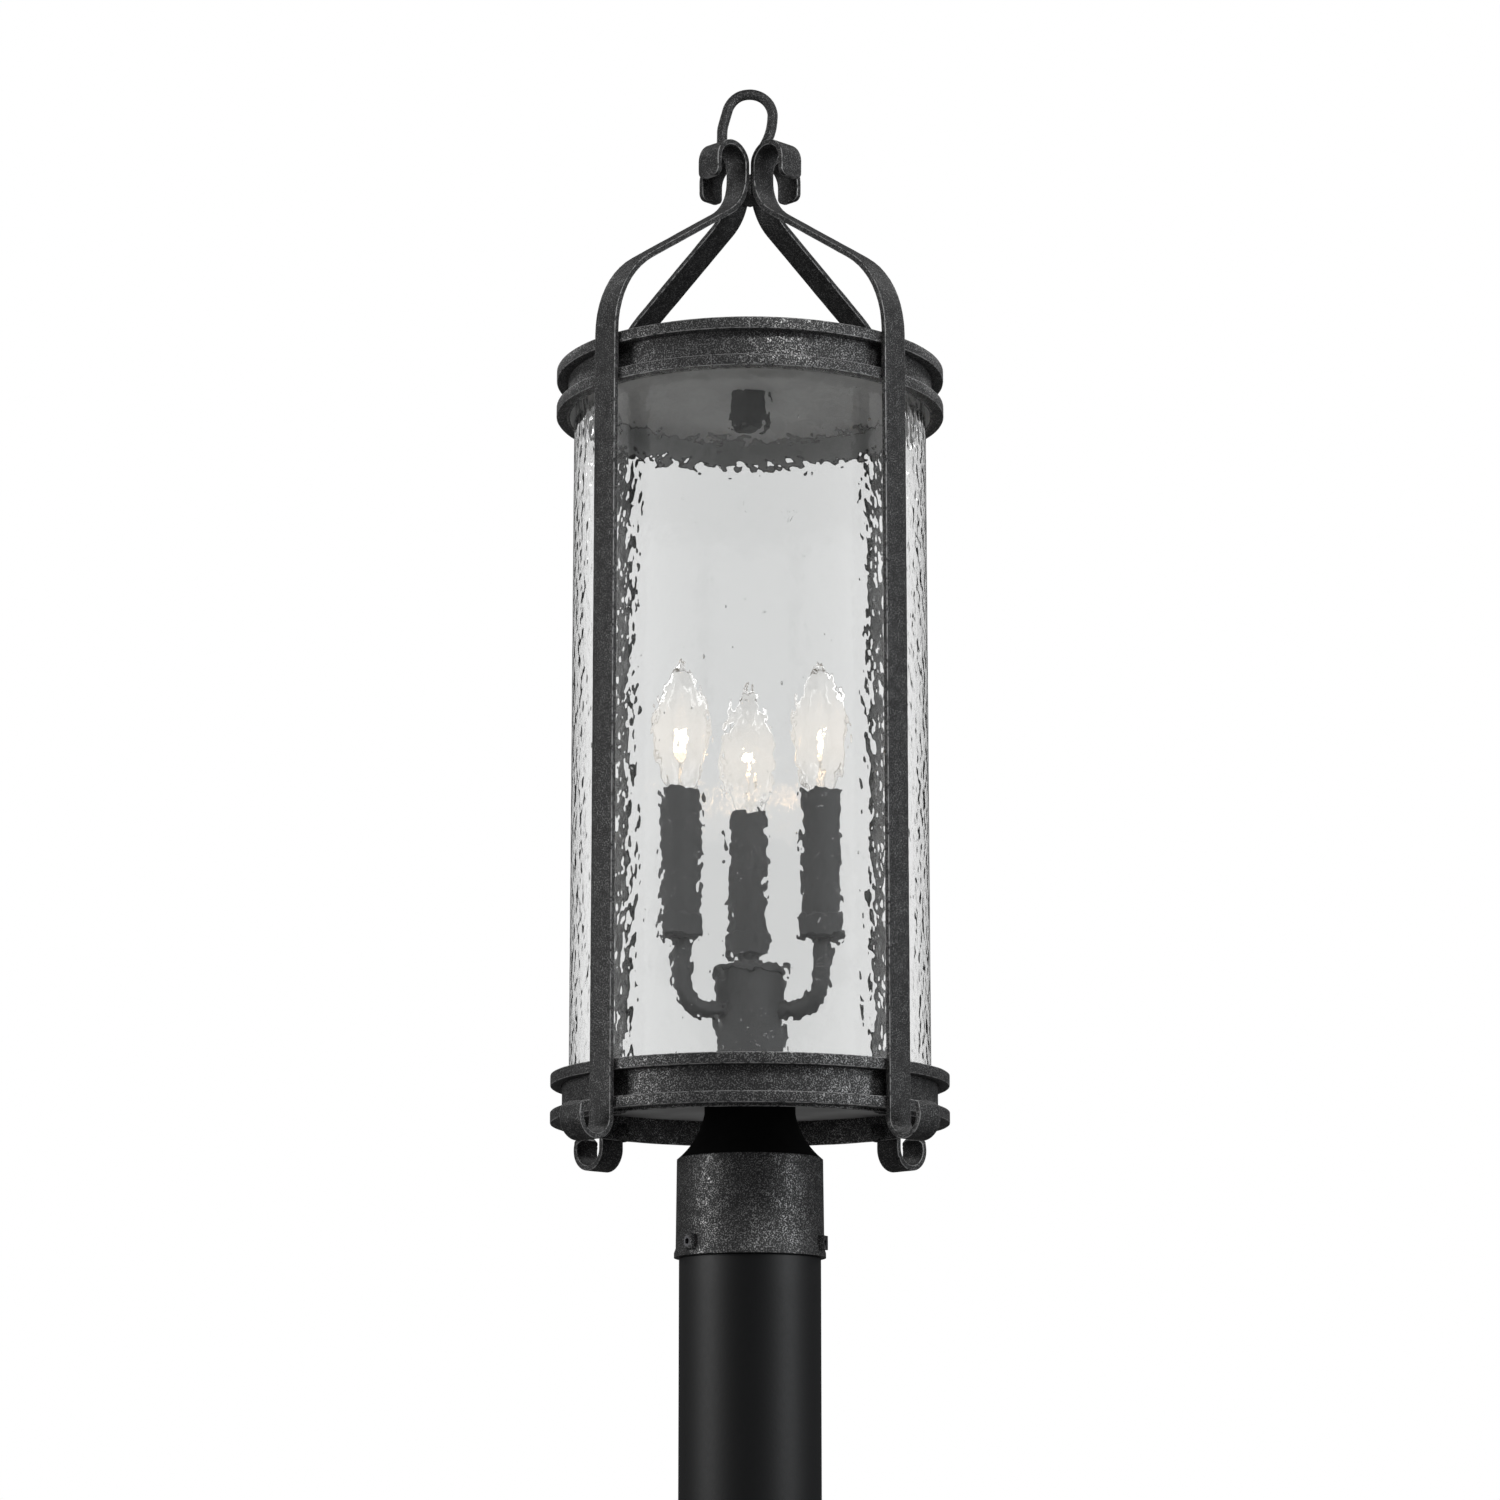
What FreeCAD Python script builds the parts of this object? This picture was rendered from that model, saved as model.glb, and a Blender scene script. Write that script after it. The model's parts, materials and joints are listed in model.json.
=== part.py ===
"""Three-light post lantern: forged iron frame, clear glass cylinder, candle cluster.

Frame: millimetres, +Z up, origin at the centre of the post's lower end.
"""
import FreeCAD, Part
import Sketcher
import math
import os
import re

VECTOR = FreeCAD.Vector

# Driving dimensions, in millimetres, degrees or counts.
SIZES = {
    # post
    "post_radius": 38.1,
    "post_wall": 3.0,
    "post_top": 236.7,
    "spigot_radius": 37.5,
    "spigot_low": 190.0,
    # collar casting that sits over the post's spigot, and its neck
    "bore_clearance": 0.05,
    "collar_low": 190.5,
    "collar_high": 243.0,
    "collar_foot_radius": 40.8,
    "collar_foot_height": 2.5,
    "collar_foot_slope": 5.0,
    "collar_edge": 0.5,
    "collar_radius": 39.4,
    "collar_shoulder_radius": 38.8,
    "collar_stop": 237.0,
    "collar_stop_radius": 33.0,
    "collar_cone": 15.0,
    "neck_radius": 24.6,
    "neck_arc_radius": 42.0,
    "neck_bore": 19.0,
    "neck_web": 7.0,
    # set screws and the square pads that carry them
    "screw_radius": 3.0,
    "screw_thread_gap": 0.05,
    "screw_length": 5.2,
    "screw_tip_gap": 0.3,
    "screw_height": 197.5,
    "screw_socket_radius": 1.75,
    "screw_socket_depth": 2.4,
    "pad_width": 7.0,
    "pad_height": 7.5,
    "pad_reach": 43.2,
    "drill_over": 3.0,
    # bottom pan: plate, band and two hoops of square bar
    "plate_low": 274.6,
    "plate_thick": 2.0,
    "band_radius": 101.6,
    "band_wall": 1.5,
    "hoop_bar": 6.35,
    "bottom_band_low": 260.6,
    "bottom_hoop_low": 262.0,
    "bottom_flange_high": 288.4,
    # top pan and roof
    "top_band_low": 656.0,
    "top_flange_high": 682.7,
    "ceiling_low": 670.5,
    "roof_thick": 1.5,
    "roof_rim_radius": 103.0,
    "roof_dome_radius": 99.0,
    "roof_sphere_radius": 300.0,
    "roof_hole": 3.1,
    "boss_radius": 10.0,
    "boss_drop": 20.5,
    "roof_stud_radius": 3.0,
    "boss_edge": 1.5,
    "boss_floor": 6.0,
    "roof_stud_over": 4.0,
    "roof_nut_radius": 5.5,
    "roof_washer_over": 2.5,
    "roof_washer_thick": 1.2,
    "roof_ball_sink": 1.0,
    # glass
    "glass_radius": 98.0,
    "glass_wall": 4.0,
    "gasket_thick": 1.5,
    "gasket_overlap": 0.8,
    # straps: flat bar, drawn as one chain of tangent lines and arcs
    "strap_width": 16.0,
    "strap_thick": 3.2,
    "strap_tip_round": 4.0,
    "curl_radius": 10.5,
    "curl_low": 245.0,
    "curl_tip_turn": 40.0,
    "shoulder_low": 683.0,
    "shoulder_radius": 58.0,
    "shoulder_turn": 57.0,
    "throat_radius": 28.0,
    "throat_inner": 8.0,
    "scroll_radius": 11.0,
    "scroll_centre": 800.8,
    "scroll_tip": 790.5,
    # studs and cap nuts that hold the straps
    "bottom_stud_radius": 2.5,
    "bottom_stud_height": 265.2,
    "bottom_nut_radius": 5.3,
    "bottom_nut_depth": 8.0,
    "top_stud_radius": 2.0,
    "top_stud_height": 678.2,
    "top_nut_radius": 4.0,
    "top_nut_depth": 6.5,
    "stud_gap": 0.2,
    "washer_gap": 0.15,
    "nut_washer_thick": 1.0,
    "nut_flat_trim": 0.3,
    "nut_hexagon_share": 0.55,
    "nut_shoulder_share": 0.8,
    "nut_crown_share": 0.6,
    "nut_thread_share": 0.75,
    # core block and the round bar loop
    "core_low": 784.0,
    "core_high": 796.0,
    "loop_bar_radius": 3.1,
    "loop_radius": 13.0,
    "loop_centre_x": -0.2,
    "loop_centre_height": 834.2,
    "loop_bend_radius": 36.0,
    "loop_bend_turn": 30.0,
    "loop_foot": 786.0,
    "loop_lean": 15.0,
    "loop_lean_length": 9.0,
    "loop_tail_radius": 20.0,
    "loop_tail_length": 19.0,
    # hub of the candle cluster
    "hub_radius": 19.4,
    "hub_wall": 1.6,
    "hub_high": 344.0,
    "lid_radius": 20.8,
    "lid_thick": 4.0,
    "lid_spigot": 3.0,
    "lid_edge": 1.0,
    "spigot_gap": 0.1,
    "stem_radius": 8.5,
    "stem_bore": 6.2,
    "stem_low": 266.0,
    "stem_high": 288.0,
    "stem_nut_radius": 13.0,
    "stem_nut_thick": 5.0,
    # arms
    "arm_radius": 5.15,
    "arm_bore": 3.6,
    "arm_start": 12.0,
    "arm_height": 323.0,
    "arm_bend": 16.0,
    "arm_reach": 43.5,
    "arm_high": 366.0,
    "arm_nut_radius": 7.2,
    "arm_nut_start": 12.5,
    "arm_nut_thick": 3.0,
    "arm_first_angle": 91.5,
    "arm_hole_gap": 0.1,
    "arm_fit_gap": 0.05,
    # candles
    "cup_low": 359.5,
    "cup_high": 373.0,
    "cup_radius": 12.3,
    "cup_floor": 2.0,
    "cup_base_edge": 2.0,
    "cup_lip_edge": 0.5,
    "sleeve_radius": 11.0,
    "sleeve_wall": 0.8,
    "sleeve_high": 441.0,
    "socket_radius": 8.4,
    "socket_foot": 12.0,
    "socket_grip": 4.0,
    "socket_high": 437.0,
    "shell_radius": 6.9,
    "shell_wall": 0.6,
    "shell_low": 412.0,
    "shell_high": 434.0,
    "contact_radius": 2.5,
    "contact_thick": 2.0,
    "contact_rim": 1.0,
    # lamps
    "base_radius": 5.9,
    "base_low": 412.4,
    "base_shoulder": 417.0,
    "base_high": 436.0,
    "base_lap": 1.0,
    "base_tip_edge": 0.5,
    "bulb_neck_radius": 6.4,
    "bulb_neck_high": 443.0,
    "bulb_neck_flare": 7.6,
    "bulb_radius": 15.75,
    "bulb_widest": 473.6,
    "bulb_high": 514.0,
    "bulb_glass_wall": 0.8,
    "stalk_radius": 2.2,
    "stalk_high": 450.0,
    "filament_radius": 0.9,
    "filament_spread": 3.4,
    "filament_low": 449.0,
    "filament_high": 488.0,
    # lead wires inside the arms
    "lead_radius": 0.9,
    "lead_spread": 1.3,
    "lead_start": 7.0,
    "lead_high": 367.0,
}

STRAP_ANGLES = {
    "strap_front_left": 225.0,
    "strap_front_right": 315.0,
    "strap_back_left": 135.0,
    "strap_back_right": 45.0,
}
SET_SCREW_ANGLES = (219.0, 339.0, 99.0)
CANDLE_COUNT = 3
# shape of the lamp's outline: points and powers of its lower swell and upper ogive
SWELL_STEPS = 5
SWELL_POWER = 0.9
OGIVE_STEPS = 8
OGIVE_POWER = 1.9

doc = FreeCAD.newDocument("post_lantern")
sheet = doc.addObject("Spreadsheet::Sheet", "sizes")
for row, (word, number) in enumerate(SIZES.items(), start=1):
    sheet.set("A%d" % row, word)
    sheet.set("B%d" % row, repr(number))
    sheet.setAlias("B%d" % row, word)
doc.recompute()

nodes = {}


def size(word):
    """The value of one cell of the sheet."""
    return float(sheet.get(word))


def bound(expression):
    """A formula on the sheet's words, as FreeCAD's expression engine writes it."""
    def cell(found):
        word = found.group(0)
        return "sizes." + word if word in SIZES else word
    return re.sub(r"\b[a-z_]{3,}\b", cell, expression)


def worth(expression):
    """The same formula worked out now, for a first drawing of the geometry."""
    return float(sheet.evalExpression(bound(expression)))


def add(kind, name):
    return doc.addObject(kind, name)


def keep(name, thing):
    """Marks one object as a sub-part, and gives it the sub-part's name."""
    thing.Label = name
    nodes[name] = thing
    return thing


def cylinder(name, radius, low, high):
    """An upright cylinder on the Z axis."""
    made = add("Part::Cylinder", name)
    made.setExpression("Radius", bound(radius))
    made.setExpression("Height", bound("(%s) - (%s)" % (high, low)))
    made.setExpression("Placement.Base.z", bound(low))
    return made


def cut(name, base, tool):
    made = add("Part::Cut", name)
    made.Base = base
    made.Tool = tool
    return made


def common(name, base, tool):
    made = add("Part::Common", name)
    made.Base = base
    made.Tool = tool
    return made


def sphere(name, radius, centre):
    """A sphere on the Z axis."""
    made = add("Part::Sphere", name)
    made.setExpression("Radius", bound(radius))
    made.setExpression("Placement.Base.z", bound(centre))
    return made


def fuse(name, pieces):
    made = add("Part::MultiFuse", name)
    made.Shapes = pieces
    return made


def group(name, pieces):
    """Several objects side by side in one shape, each still its own solid."""
    made = add("Part::Compound", name)
    made.Links = pieces
    return made


def ring(name, outer, inner, low, high):
    """A tube, band, hoop or washer on the Z axis."""
    outside = cylinder(name + "_outer", outer, low, high)
    inside = cylinder(name + "_inner", inner, low, high)
    return cut(name, outside, inside)


def turned_copy(name, template, degrees):
    """The template turned about the Z axis."""
    made = group(name, [template])
    made.Placement = FreeCAD.Placement(VECTOR(0, 0, 0), FreeCAD.Rotation(VECTOR(0, 0, 1), degrees))
    return made


def turned_copies(name, template, angles):
    """One object that holds the template once at each angle."""
    copies = []
    for number, degrees in enumerate(angles, 1):
        copies.append(turned_copy("%s_%d" % (name, number), template, degrees))
    return group(name, copies)


def body_with_sketch(name, plane):
    """A PartDesign body with a first sketch on one of its own origin planes."""
    body = add("PartDesign::Body", name)
    sketch = body.newObject("Sketcher::SketchObject", name + "_sketch")
    feature = [item for item in body.Origin.OriginFeatures if item.Role == plane][0]
    sketch.AttachmentSupport = (feature, [""])
    sketch.MapMode = "FlatFace"
    return body, sketch


def sketch_arc(start, middle, end):
    """An arc through three points, always anticlockwise, as Sketcher stores them."""
    clockwise = (middle - start).cross(end - middle).z < 0
    return Part.Arc(end, middle, start) if clockwise else Part.Arc(start, middle, end)


def arc_between(start, end, radius, side):
    """The short arc of a given radius; side +1 bulges to the left of the way from start to end."""
    chord = end - start
    half = chord.Length / 2
    sagitta = abs(radius) - math.sqrt(radius * radius - half * half)
    left = VECTOR(-chord.y, chord.x, 0).normalize()
    middle = (start + end) * 0.5 + left * (sagitta * side)
    return sketch_arc(start, middle, end)


def draw_outline(sketch, corners):
    """A closed outline whose every corner and radius is bound to the sheet.

    A corner is (across, up), or (across, up, radius, side) when an arc leads to it.
    """
    from_sheet = [VECTOR(worth(corner[0]), worth(corner[1]), 0) for corner in corners]
    arcs = []
    for k, corner in enumerate(corners):
        start, end = from_sheet[k - 1], from_sheet[k]
        if len(corner) == 4:
            sketch.addGeometry(arc_between(start, end, worth(corner[2]), corner[3]))
            arcs.append((k, corner[2]))
        else:
            sketch.addGeometry(Part.LineSegment(start, end))
    ends = join_ends(sketch, from_sheet)
    for k, corner in enumerate(corners):
        bind_distance(sketch, "DistanceX", -2, k, ends[k][1], from_sheet[k].x, corner[0])
        bind_distance(sketch, "DistanceY", -1, k, ends[k][1], from_sheet[k].y, corner[1])
    for k, radius in arcs:
        index = sketch.addConstraint(Sketcher.Constraint("Radius", k, worth(radius)))
        sketch.setExpression("Constraints[%d]" % index, bound(radius))


def join_ends(sketch, corners):
    """Joins each curve's end to the next one's start; returns how Sketcher numbers their two ends."""
    ends = [end_positions(sketch.Geometry[k], corner) for k, corner in enumerate(corners)]
    for k in range(len(corners)):
        following = (k + 1) % len(corners)
        sketch.addConstraint(Sketcher.Constraint("Coincident", k, ends[k][1], following, ends[following][0]))
    return ends


def end_positions(curve, end):
    """Which of a curve's two ends leads in and which leads out, as Sketcher numbers them."""
    if curve.EndPoint.distanceToPoint(end) < curve.StartPoint.distanceToPoint(end):
        return 1, 2
    return 2, 1


def bind_distance(sketch, kind, axis, curve, position, value, expression):
    """Holds one corner at a distance from the origin, or on the axis itself."""
    if abs(value) < 1e-9:
        sketch.addConstraint(Sketcher.Constraint("PointOnObject", curve, position, axis))
        return
    index = sketch.addConstraint(Sketcher.Constraint(kind, -1, 1, curve, position, value))
    sketch.setExpression("Constraints[%d]" % index, bound(expression))


def turned(name, corners):
    """A body of revolution about Z from an outline in the XZ plane."""
    body, sketch = body_with_sketch(name, "XZ_Plane")
    draw_outline(sketch, corners)
    revolution = body.newObject("PartDesign::Revolution", name + "_turn")
    revolution.Profile = sketch
    revolution.ReferenceAxis = (sketch, ["V_Axis"])
    revolution.Angle = 360.0
    return body


def lying(name, radius, near, far, height, degrees=0.0):
    """A cylinder that lies along a radius of the lantern, from near to far at a height."""
    made = add("Part::Cylinder", name)
    made.setExpression("Radius", bound(radius))
    made.setExpression("Height", bound("(%s) - (%s)" % (far, near)))
    made.setExpression("Placement.Base.x", bound(near))
    made.setExpression("Placement.Base.z", bound(height))
    made.Placement.Rotation = FreeCAD.Rotation(VECTOR(0, 1, 0), 90)
    return made if not degrees else turned_copy(name + "_turned", made, degrees)


def lying_prism(name, radius, near, far, height):
    """A hexagonal prism that lies along a radius of the lantern."""
    made = add("Part::Prism", name)
    made.Polygon = 6
    made.setExpression("Circumradius", bound(radius))
    made.setExpression("Height", bound("(%s) - (%s)" % (far, near)))
    made.setExpression("Placement.Base.x", bound(near))
    made.setExpression("Placement.Base.z", bound(height))
    made.Placement.Rotation = FreeCAD.Rotation(VECTOR(0, 1, 0), 90)
    return made


def make_post():
    """A tube whose upper end is turned down to a spigot for the collar."""
    bore = "post_radius - post_wall"
    keep("post_tube", turned("post_tube", [
        (bore, "0"),
        ("post_radius", "0"),
        ("post_radius", "spigot_low"),
        ("spigot_radius", "spigot_low"),
        ("spigot_radius", "post_top"),
        (bore, "post_top"),
    ]))


def make_collar():
    """The casting: bored collar with a foot lip, hollow bell neck, drilled web on top, three pads."""
    web_low = "plate_low - neck_web"
    bore = "spigot_radius + bore_clearance"
    casting = turned("collar_turned", [
        (bore, "collar_low"),
        ("collar_foot_radius", "collar_low"),
        ("collar_foot_radius", "collar_low + collar_foot_height"),
        ("collar_radius + collar_edge", "collar_low + collar_foot_slope"),
        ("collar_radius", "collar_high"),
        ("collar_shoulder_radius", "collar_high + collar_edge"),
        ("neck_radius", web_low, "neck_arc_radius", 1),
        ("neck_radius", "plate_low"),
        ("stem_radius + arm_hole_gap", "plate_low"),
        ("stem_radius + arm_hole_gap", web_low),
        ("neck_bore", web_low),
        ("neck_bore", "collar_stop + collar_cone"),
        ("collar_stop_radius", "collar_stop"),
        (bore, "collar_stop"),
    ])
    pad = add("Part::Box", "collar_pad_block")
    pad.setExpression("Length", bound("pad_reach - collar_radius"))
    pad.setExpression("Width", bound("pad_width"))
    pad.setExpression("Height", bound("pad_height"))
    pad.setExpression("Placement.Base.x", bound("collar_radius"))
    pad.setExpression("Placement.Base.y", bound("0 - pad_width/2"))
    pad.setExpression("Placement.Base.z", bound("screw_height - pad_height/2"))
    pads = [turned_copy("collar_pad_%d" % k, pad, angle) for k, angle in enumerate(SET_SCREW_ANGLES, 1)]
    hole = lying("collar_screw_hole", "screw_radius + screw_thread_gap",
                 "spigot_radius - drill_over", "pad_reach + drill_over", "screw_height")
    holes = turned_copies("collar_screw_holes", hole, SET_SCREW_ANGLES)
    keep("collar_casting", cut("collar_casting", fuse("collar_with_pads", [casting] + pads), holes))


def make_set_screws():
    """Three socket set screws, each just clear of the post and flush with its pad."""
    near = "spigot_radius + screw_tip_gap"
    far = near + " + screw_length"
    blank = lying("set_screw_blank", "screw_radius", near, far, "screw_height")
    socket = lying_prism("set_screw_socket", "screw_socket_radius",
                         far + " - screw_socket_depth", far + " + drill_over", "screw_height")
    screw = cut("set_screw", blank, socket)
    for number, angle in enumerate(SET_SCREW_ANGLES, 1):
        name = "set_screw_%d" % number
        keep(name, turned_copy(name, screw, angle))


def stud_holes(name, radius, height):
    """Four radial holes through a hoop and its band, one under each strap."""
    near = "band_radius - band_wall - drill_over"
    far = "band_radius + hoop_bar + drill_over"
    hole = lying(name + "_one", radius + " + stud_gap", near, far, height)
    return turned_copies(name, hole, STRAP_ANGLES.values())


def make_pan(side, band_low, band_high, hoop_low, flange_high, holes, drilled_hoop):
    """A band with two hoops round it; the strap studs pass through one hoop and the band."""
    band = ring(side + "_band_blank", "band_radius", "band_radius - band_wall", band_low, band_high)
    hoops = {
        side + "_lower_hoop": (hoop_low, hoop_low + " + hoop_bar"),
        side + "_flange_hoop": (flange_high + " - hoop_bar", flange_high),
    }
    keep(side + "_band", cut(side + "_band", band, holes))
    for name, (low, high) in hoops.items():
        blank = ring(name + "_blank", "band_radius + hoop_bar", "band_radius", low, high)
        keep(name, cut(name, blank, holes) if name == drilled_hoop else blank)


def make_pans():
    bottom_holes = stud_holes("bottom_stud_holes", "bottom_stud_radius", "bottom_stud_height")
    top_holes = stud_holes("top_stud_holes", "top_stud_radius", "top_stud_height")
    make_pan("bottom", "bottom_band_low", "bottom_flange_high", "bottom_hoop_low", "bottom_flange_high",
             bottom_holes, "bottom_lower_hoop")
    make_pan("top", "top_band_low", "top_flange_high", "top_band_low", "top_flange_high",
             top_holes, "top_flange_hoop")
    keep("bottom_plate", ring("bottom_plate", "band_radius - band_wall", "stem_radius + arm_hole_gap",
                              "plate_low", "plate_low + plate_thick"))
    keep("ceiling_plate", ring("ceiling_plate", "band_radius - band_wall", "roof_hole",
                               "ceiling_low", "ceiling_low + plate_thick"))


def make_roof():
    """Shallow spun dome on the top pan, held by a stud between a boss below and a cap nut above."""
    rim = "top_flange_high"
    centre = "top_flange_high - sqrt(roof_sphere_radius ^ 2 - roof_dome_radius ^ 2)"
    shell = cut("roof_shell", sphere("roof_outer", "roof_sphere_radius + roof_thick", centre),
                sphere("roof_inner", "roof_sphere_radius", centre))
    drum = ring("roof_drum", "roof_dome_radius", "roof_hole", rim, rim + " + 2*roof_dome_radius")
    dome = common("roof_dome_only", shell, drum)
    brim = ring("roof_brim", "roof_rim_radius", "roof_dome_radius", rim, rim + " + roof_thick")
    keep("roof_dome", fuse("roof_dome", [dome, brim]))
    crown = centre + " + roof_sphere_radius"
    boss_low = "ceiling_low - boss_drop"
    stud_low = boss_low + " + boss_floor"
    keep("ceiling_boss", turned("ceiling_boss", [
        ("roof_stud_radius", stud_low),
        ("0", stud_low),
        ("0", boss_low),
        ("boss_radius - boss_edge", boss_low),
        ("boss_radius", boss_low + " + boss_edge"),
        ("boss_radius", "ceiling_low"),
        ("roof_stud_radius", "ceiling_low"),
    ]))
    nut_low = crown + " + roof_thick"
    keep("roof_stud", cylinder("roof_stud", "roof_stud_radius", stud_low, nut_low + " + roof_stud_over"))
    washer_high = nut_low + " + roof_washer_thick"
    washer = cylinder("roof_washer", "roof_nut_radius + roof_washer_over", nut_low, washer_high)
    waist = cylinder("roof_nut_waist", "roof_nut_radius", nut_low, nut_low + " + roof_nut_radius")
    ball = sphere("roof_nut_ball", "roof_nut_radius", nut_low + " + roof_nut_radius - roof_ball_sink")
    above = cylinder("roof_nut_above", "2*roof_nut_radius", nut_low, nut_low + " + 3*roof_nut_radius")
    nut = common("roof_nut_solid", fuse("roof_nut_pieces", [washer, waist, ball]), above)
    keep("roof_cap_nut", cut("roof_cap_nut", nut, nodes["roof_stud"]))


def make_glass():
    low = "plate_low + plate_thick"
    keep("glass_cylinder", ring("glass_cylinder", "glass_radius", "glass_radius - glass_wall",
                                low + " + gasket_thick", "ceiling_low - gasket_thick"))
    outer = "glass_radius + gasket_overlap"
    inner = "glass_radius - glass_wall - gasket_overlap"
    keep("glass_gaskets", group("glass_gaskets", [
        ring("gasket_bottom", outer, inner, low, low + " + gasket_thick"),
        ring("gasket_top", outer, inner, "ceiling_low - gasket_thick", "ceiling_low"),
    ]))


def heading_vector(degrees):
    return VECTOR(math.cos(math.radians(degrees)), math.sin(math.radians(degrees)), 0)


def walk(start, heading, steps):
    """The runs of a bent bar, followed from its first end.

    A step is a length, for a straight run, or (word, turn) for an arc of that radius on the sheet;
    a positive turn is to the left. Each run is (start, heading, length, word, turn).
    """
    runs = []
    for step in steps:
        if isinstance(step, tuple):
            word, turn = step
            side = math.copysign(1, turn)
            centre = start + heading_vector(heading + 90 * side) * size(word)
            runs.append((start, heading, 0, word, turn))
            heading += turn
            start = centre - heading_vector(heading + 90 * side) * size(word)
        else:
            runs.append((start, heading, step, None, 0))
            start = start + heading_vector(heading) * step
    return runs


def run_points(run, aside=0.0):
    """Start, middle and end of a run, moved to its left by aside; a straight run has no middle."""
    start, heading, length, word, turn = run
    if word is None:
        moved = start + heading_vector(heading + 90) * aside
        return moved, None, moved + heading_vector(heading) * length
    side = math.copysign(1, turn)
    centre = start + heading_vector(heading + 90 * side) * size(word)
    radius = size(word) - aside * side
    return tuple(centre - heading_vector(heading + turn * share + 90 * side) * radius for share in (0, 0.5, 1))


def strap_runs():
    """Curl, upright, shoulder, slope, throat, neck and scroll, as one length of bar from tip to tip."""
    half = size("strap_thick") / 2
    upright = size("band_radius") + size("hoop_bar") + half
    neck = size("throat_inner") + half
    turn = size("shoulder_turn")
    drop, reach = math.sin(math.radians(turn)), 1 - math.cos(math.radians(turn))
    bends = size("shoulder_radius") + size("throat_radius")
    slope = (upright - neck - bends * reach) / drop
    curl_centre = VECTOR(upright + size("curl_radius"), size("curl_low") + half + size("curl_radius"), 0)
    tip_angle = size("curl_tip_turn")
    neck_low = size("shoulder_low") + bends * drop + slope * math.cos(math.radians(turn))
    return walk(curl_centre + heading_vector(tip_angle) * size("curl_radius"), tip_angle - 90, [
        ("curl_radius", -180 - tip_angle),
        size("shoulder_low") - curl_centre.y,
        ("shoulder_radius", turn),
        slope,
        ("throat_radius", -turn),
        size("scroll_centre") - neck_low,
        ("scroll_radius", -180),
        size("scroll_centre") - size("scroll_tip"),
    ])


def draw_strip(sketch, runs, thick):
    """The closed outline of a flat bar: its left face, one end, its right face, the other end."""
    faces = []
    for sign in (1, -1):
        for run in runs[::sign]:
            start, middle, end = run_points(run, sign * size(thick) / 2)
            grow = "-" if run[4] * sign > 0 else "+"
            rule = "%s %s %s/2" % (run[3], grow, thick)
            faces.append((start, middle, end, rule) if sign > 0 else (end, middle, start, rule))
    count = len(runs)
    outline = faces[:count] + [(faces[count - 1][2], None, faces[count][0], None)]
    outline += faces[count:] + [(faces[-1][2], None, faces[0][0], None)]
    for start, middle, end, _ in outline:
        sketch.addGeometry(sketch_arc(start, middle, end) if middle else Part.LineSegment(start, end))
    join_ends(sketch, [piece[2] for piece in outline])
    for k, (_, middle, _, rule) in enumerate(outline):
        if middle:
            index = sketch.addConstraint(Sketcher.Constraint("Radius", k, worth(rule)))
            sketch.setExpression("Constraints[%d]" % index, bound(rule))


def make_strap(name, degrees):
    """One strap, bent from flat bar in its own radial plane and turned to its place."""
    body, sketch = body_with_sketch(name, "XZ_Plane")
    draw_strip(sketch, strap_runs(), "strap_thick")
    pad = body.newObject("PartDesign::Pad", name + "_pad")
    pad.Profile = sketch
    pad.setExpression("Length", bound("strap_width"))
    pad.SideType = "Symmetric"
    doc.recompute()
    corners = [k for k, edge in enumerate(pad.Shape.Edges, 1) if is_tip_corner(edge)]
    fillet = body.newObject("PartDesign::Fillet", name + "_tips")
    fillet.Base = (pad, ["Edge%d" % k for k in corners])
    fillet.setExpression("Radius", bound("strap_tip_round"))
    body.Tip = fillet
    body.Placement = FreeCAD.Placement(VECTOR(0, 0, 0), FreeCAD.Rotation(VECTOR(0, 0, 1), degrees))
    keep(name, body)


def is_tip_corner(edge):
    """True for the short edges across the thickness at the two ends of the strap."""
    if abs(edge.Length - size("strap_thick")) > 1e-4:
        return False
    middle = edge.CenterOfMass
    return abs(abs(middle.y) - size("strap_width") / 2) < 1e-4


def cap_nut(name, radius, depth, height, stud):
    """A domed hexagon nut against the inside of the band, with a washer."""
    wall = "band_radius - band_wall - washer_gap"
    seat = wall + " - nut_washer_thick"
    inward = wall + " - nut_%s_share*" + depth
    blank = radius + " - nut_flat_trim"
    shoulder_radius = "nut_shoulder_share*" + radius
    crown_radius = "nut_crown_share*" + radius
    washer = lying(name + "_washer", radius, seat, wall, height)
    hexagon = lying_prism(name + "_hexagon", blank, inward % "hexagon", seat, height)
    shoulder = lying(name + "_shoulder", shoulder_radius, inward % "shoulder", seat, height)
    crown = lying(name + "_crown", crown_radius, wall + " - " + depth, seat, height)
    hole = lying(name + "_hole", stud, inward % "thread", wall, height)
    return cut(name, fuse(name + "_solid", [washer, hexagon, shoulder, crown]), hole)


def make_strap_fasteners():
    for side in ("bottom", "top"):
        radius, height = side + "_stud_radius", side + "_stud_height"
        depth = side + "_nut_depth"
        inner_end = "band_radius - band_wall - nut_thread_share*" + depth
        stud = lying(side + "_stud", radius, inner_end, "band_radius + hoop_bar", height)
        nut = cap_nut(side + "_nut", side + "_nut_radius", depth, height, radius)
        keep(side + "_studs", turned_copies(side + "_studs", stud, STRAP_ANGLES.values()))
        keep(side + "_nuts", turned_copies(side + "_nuts", nut, STRAP_ANGLES.values()))


def bar_path(runs, across=0.0):
    """A bent bar's middle line as a wire in the XZ plane, moved along Y by across."""
    edges = []
    for run in runs:
        points = [VECTOR(point.x, across, point.y) for point in run_points(run) if point]
        maker = Part.Arc if len(points) == 3 else Part.LineSegment
        edges.append(maker(*points).toShape())
    return Part.Wire(edges)


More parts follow.
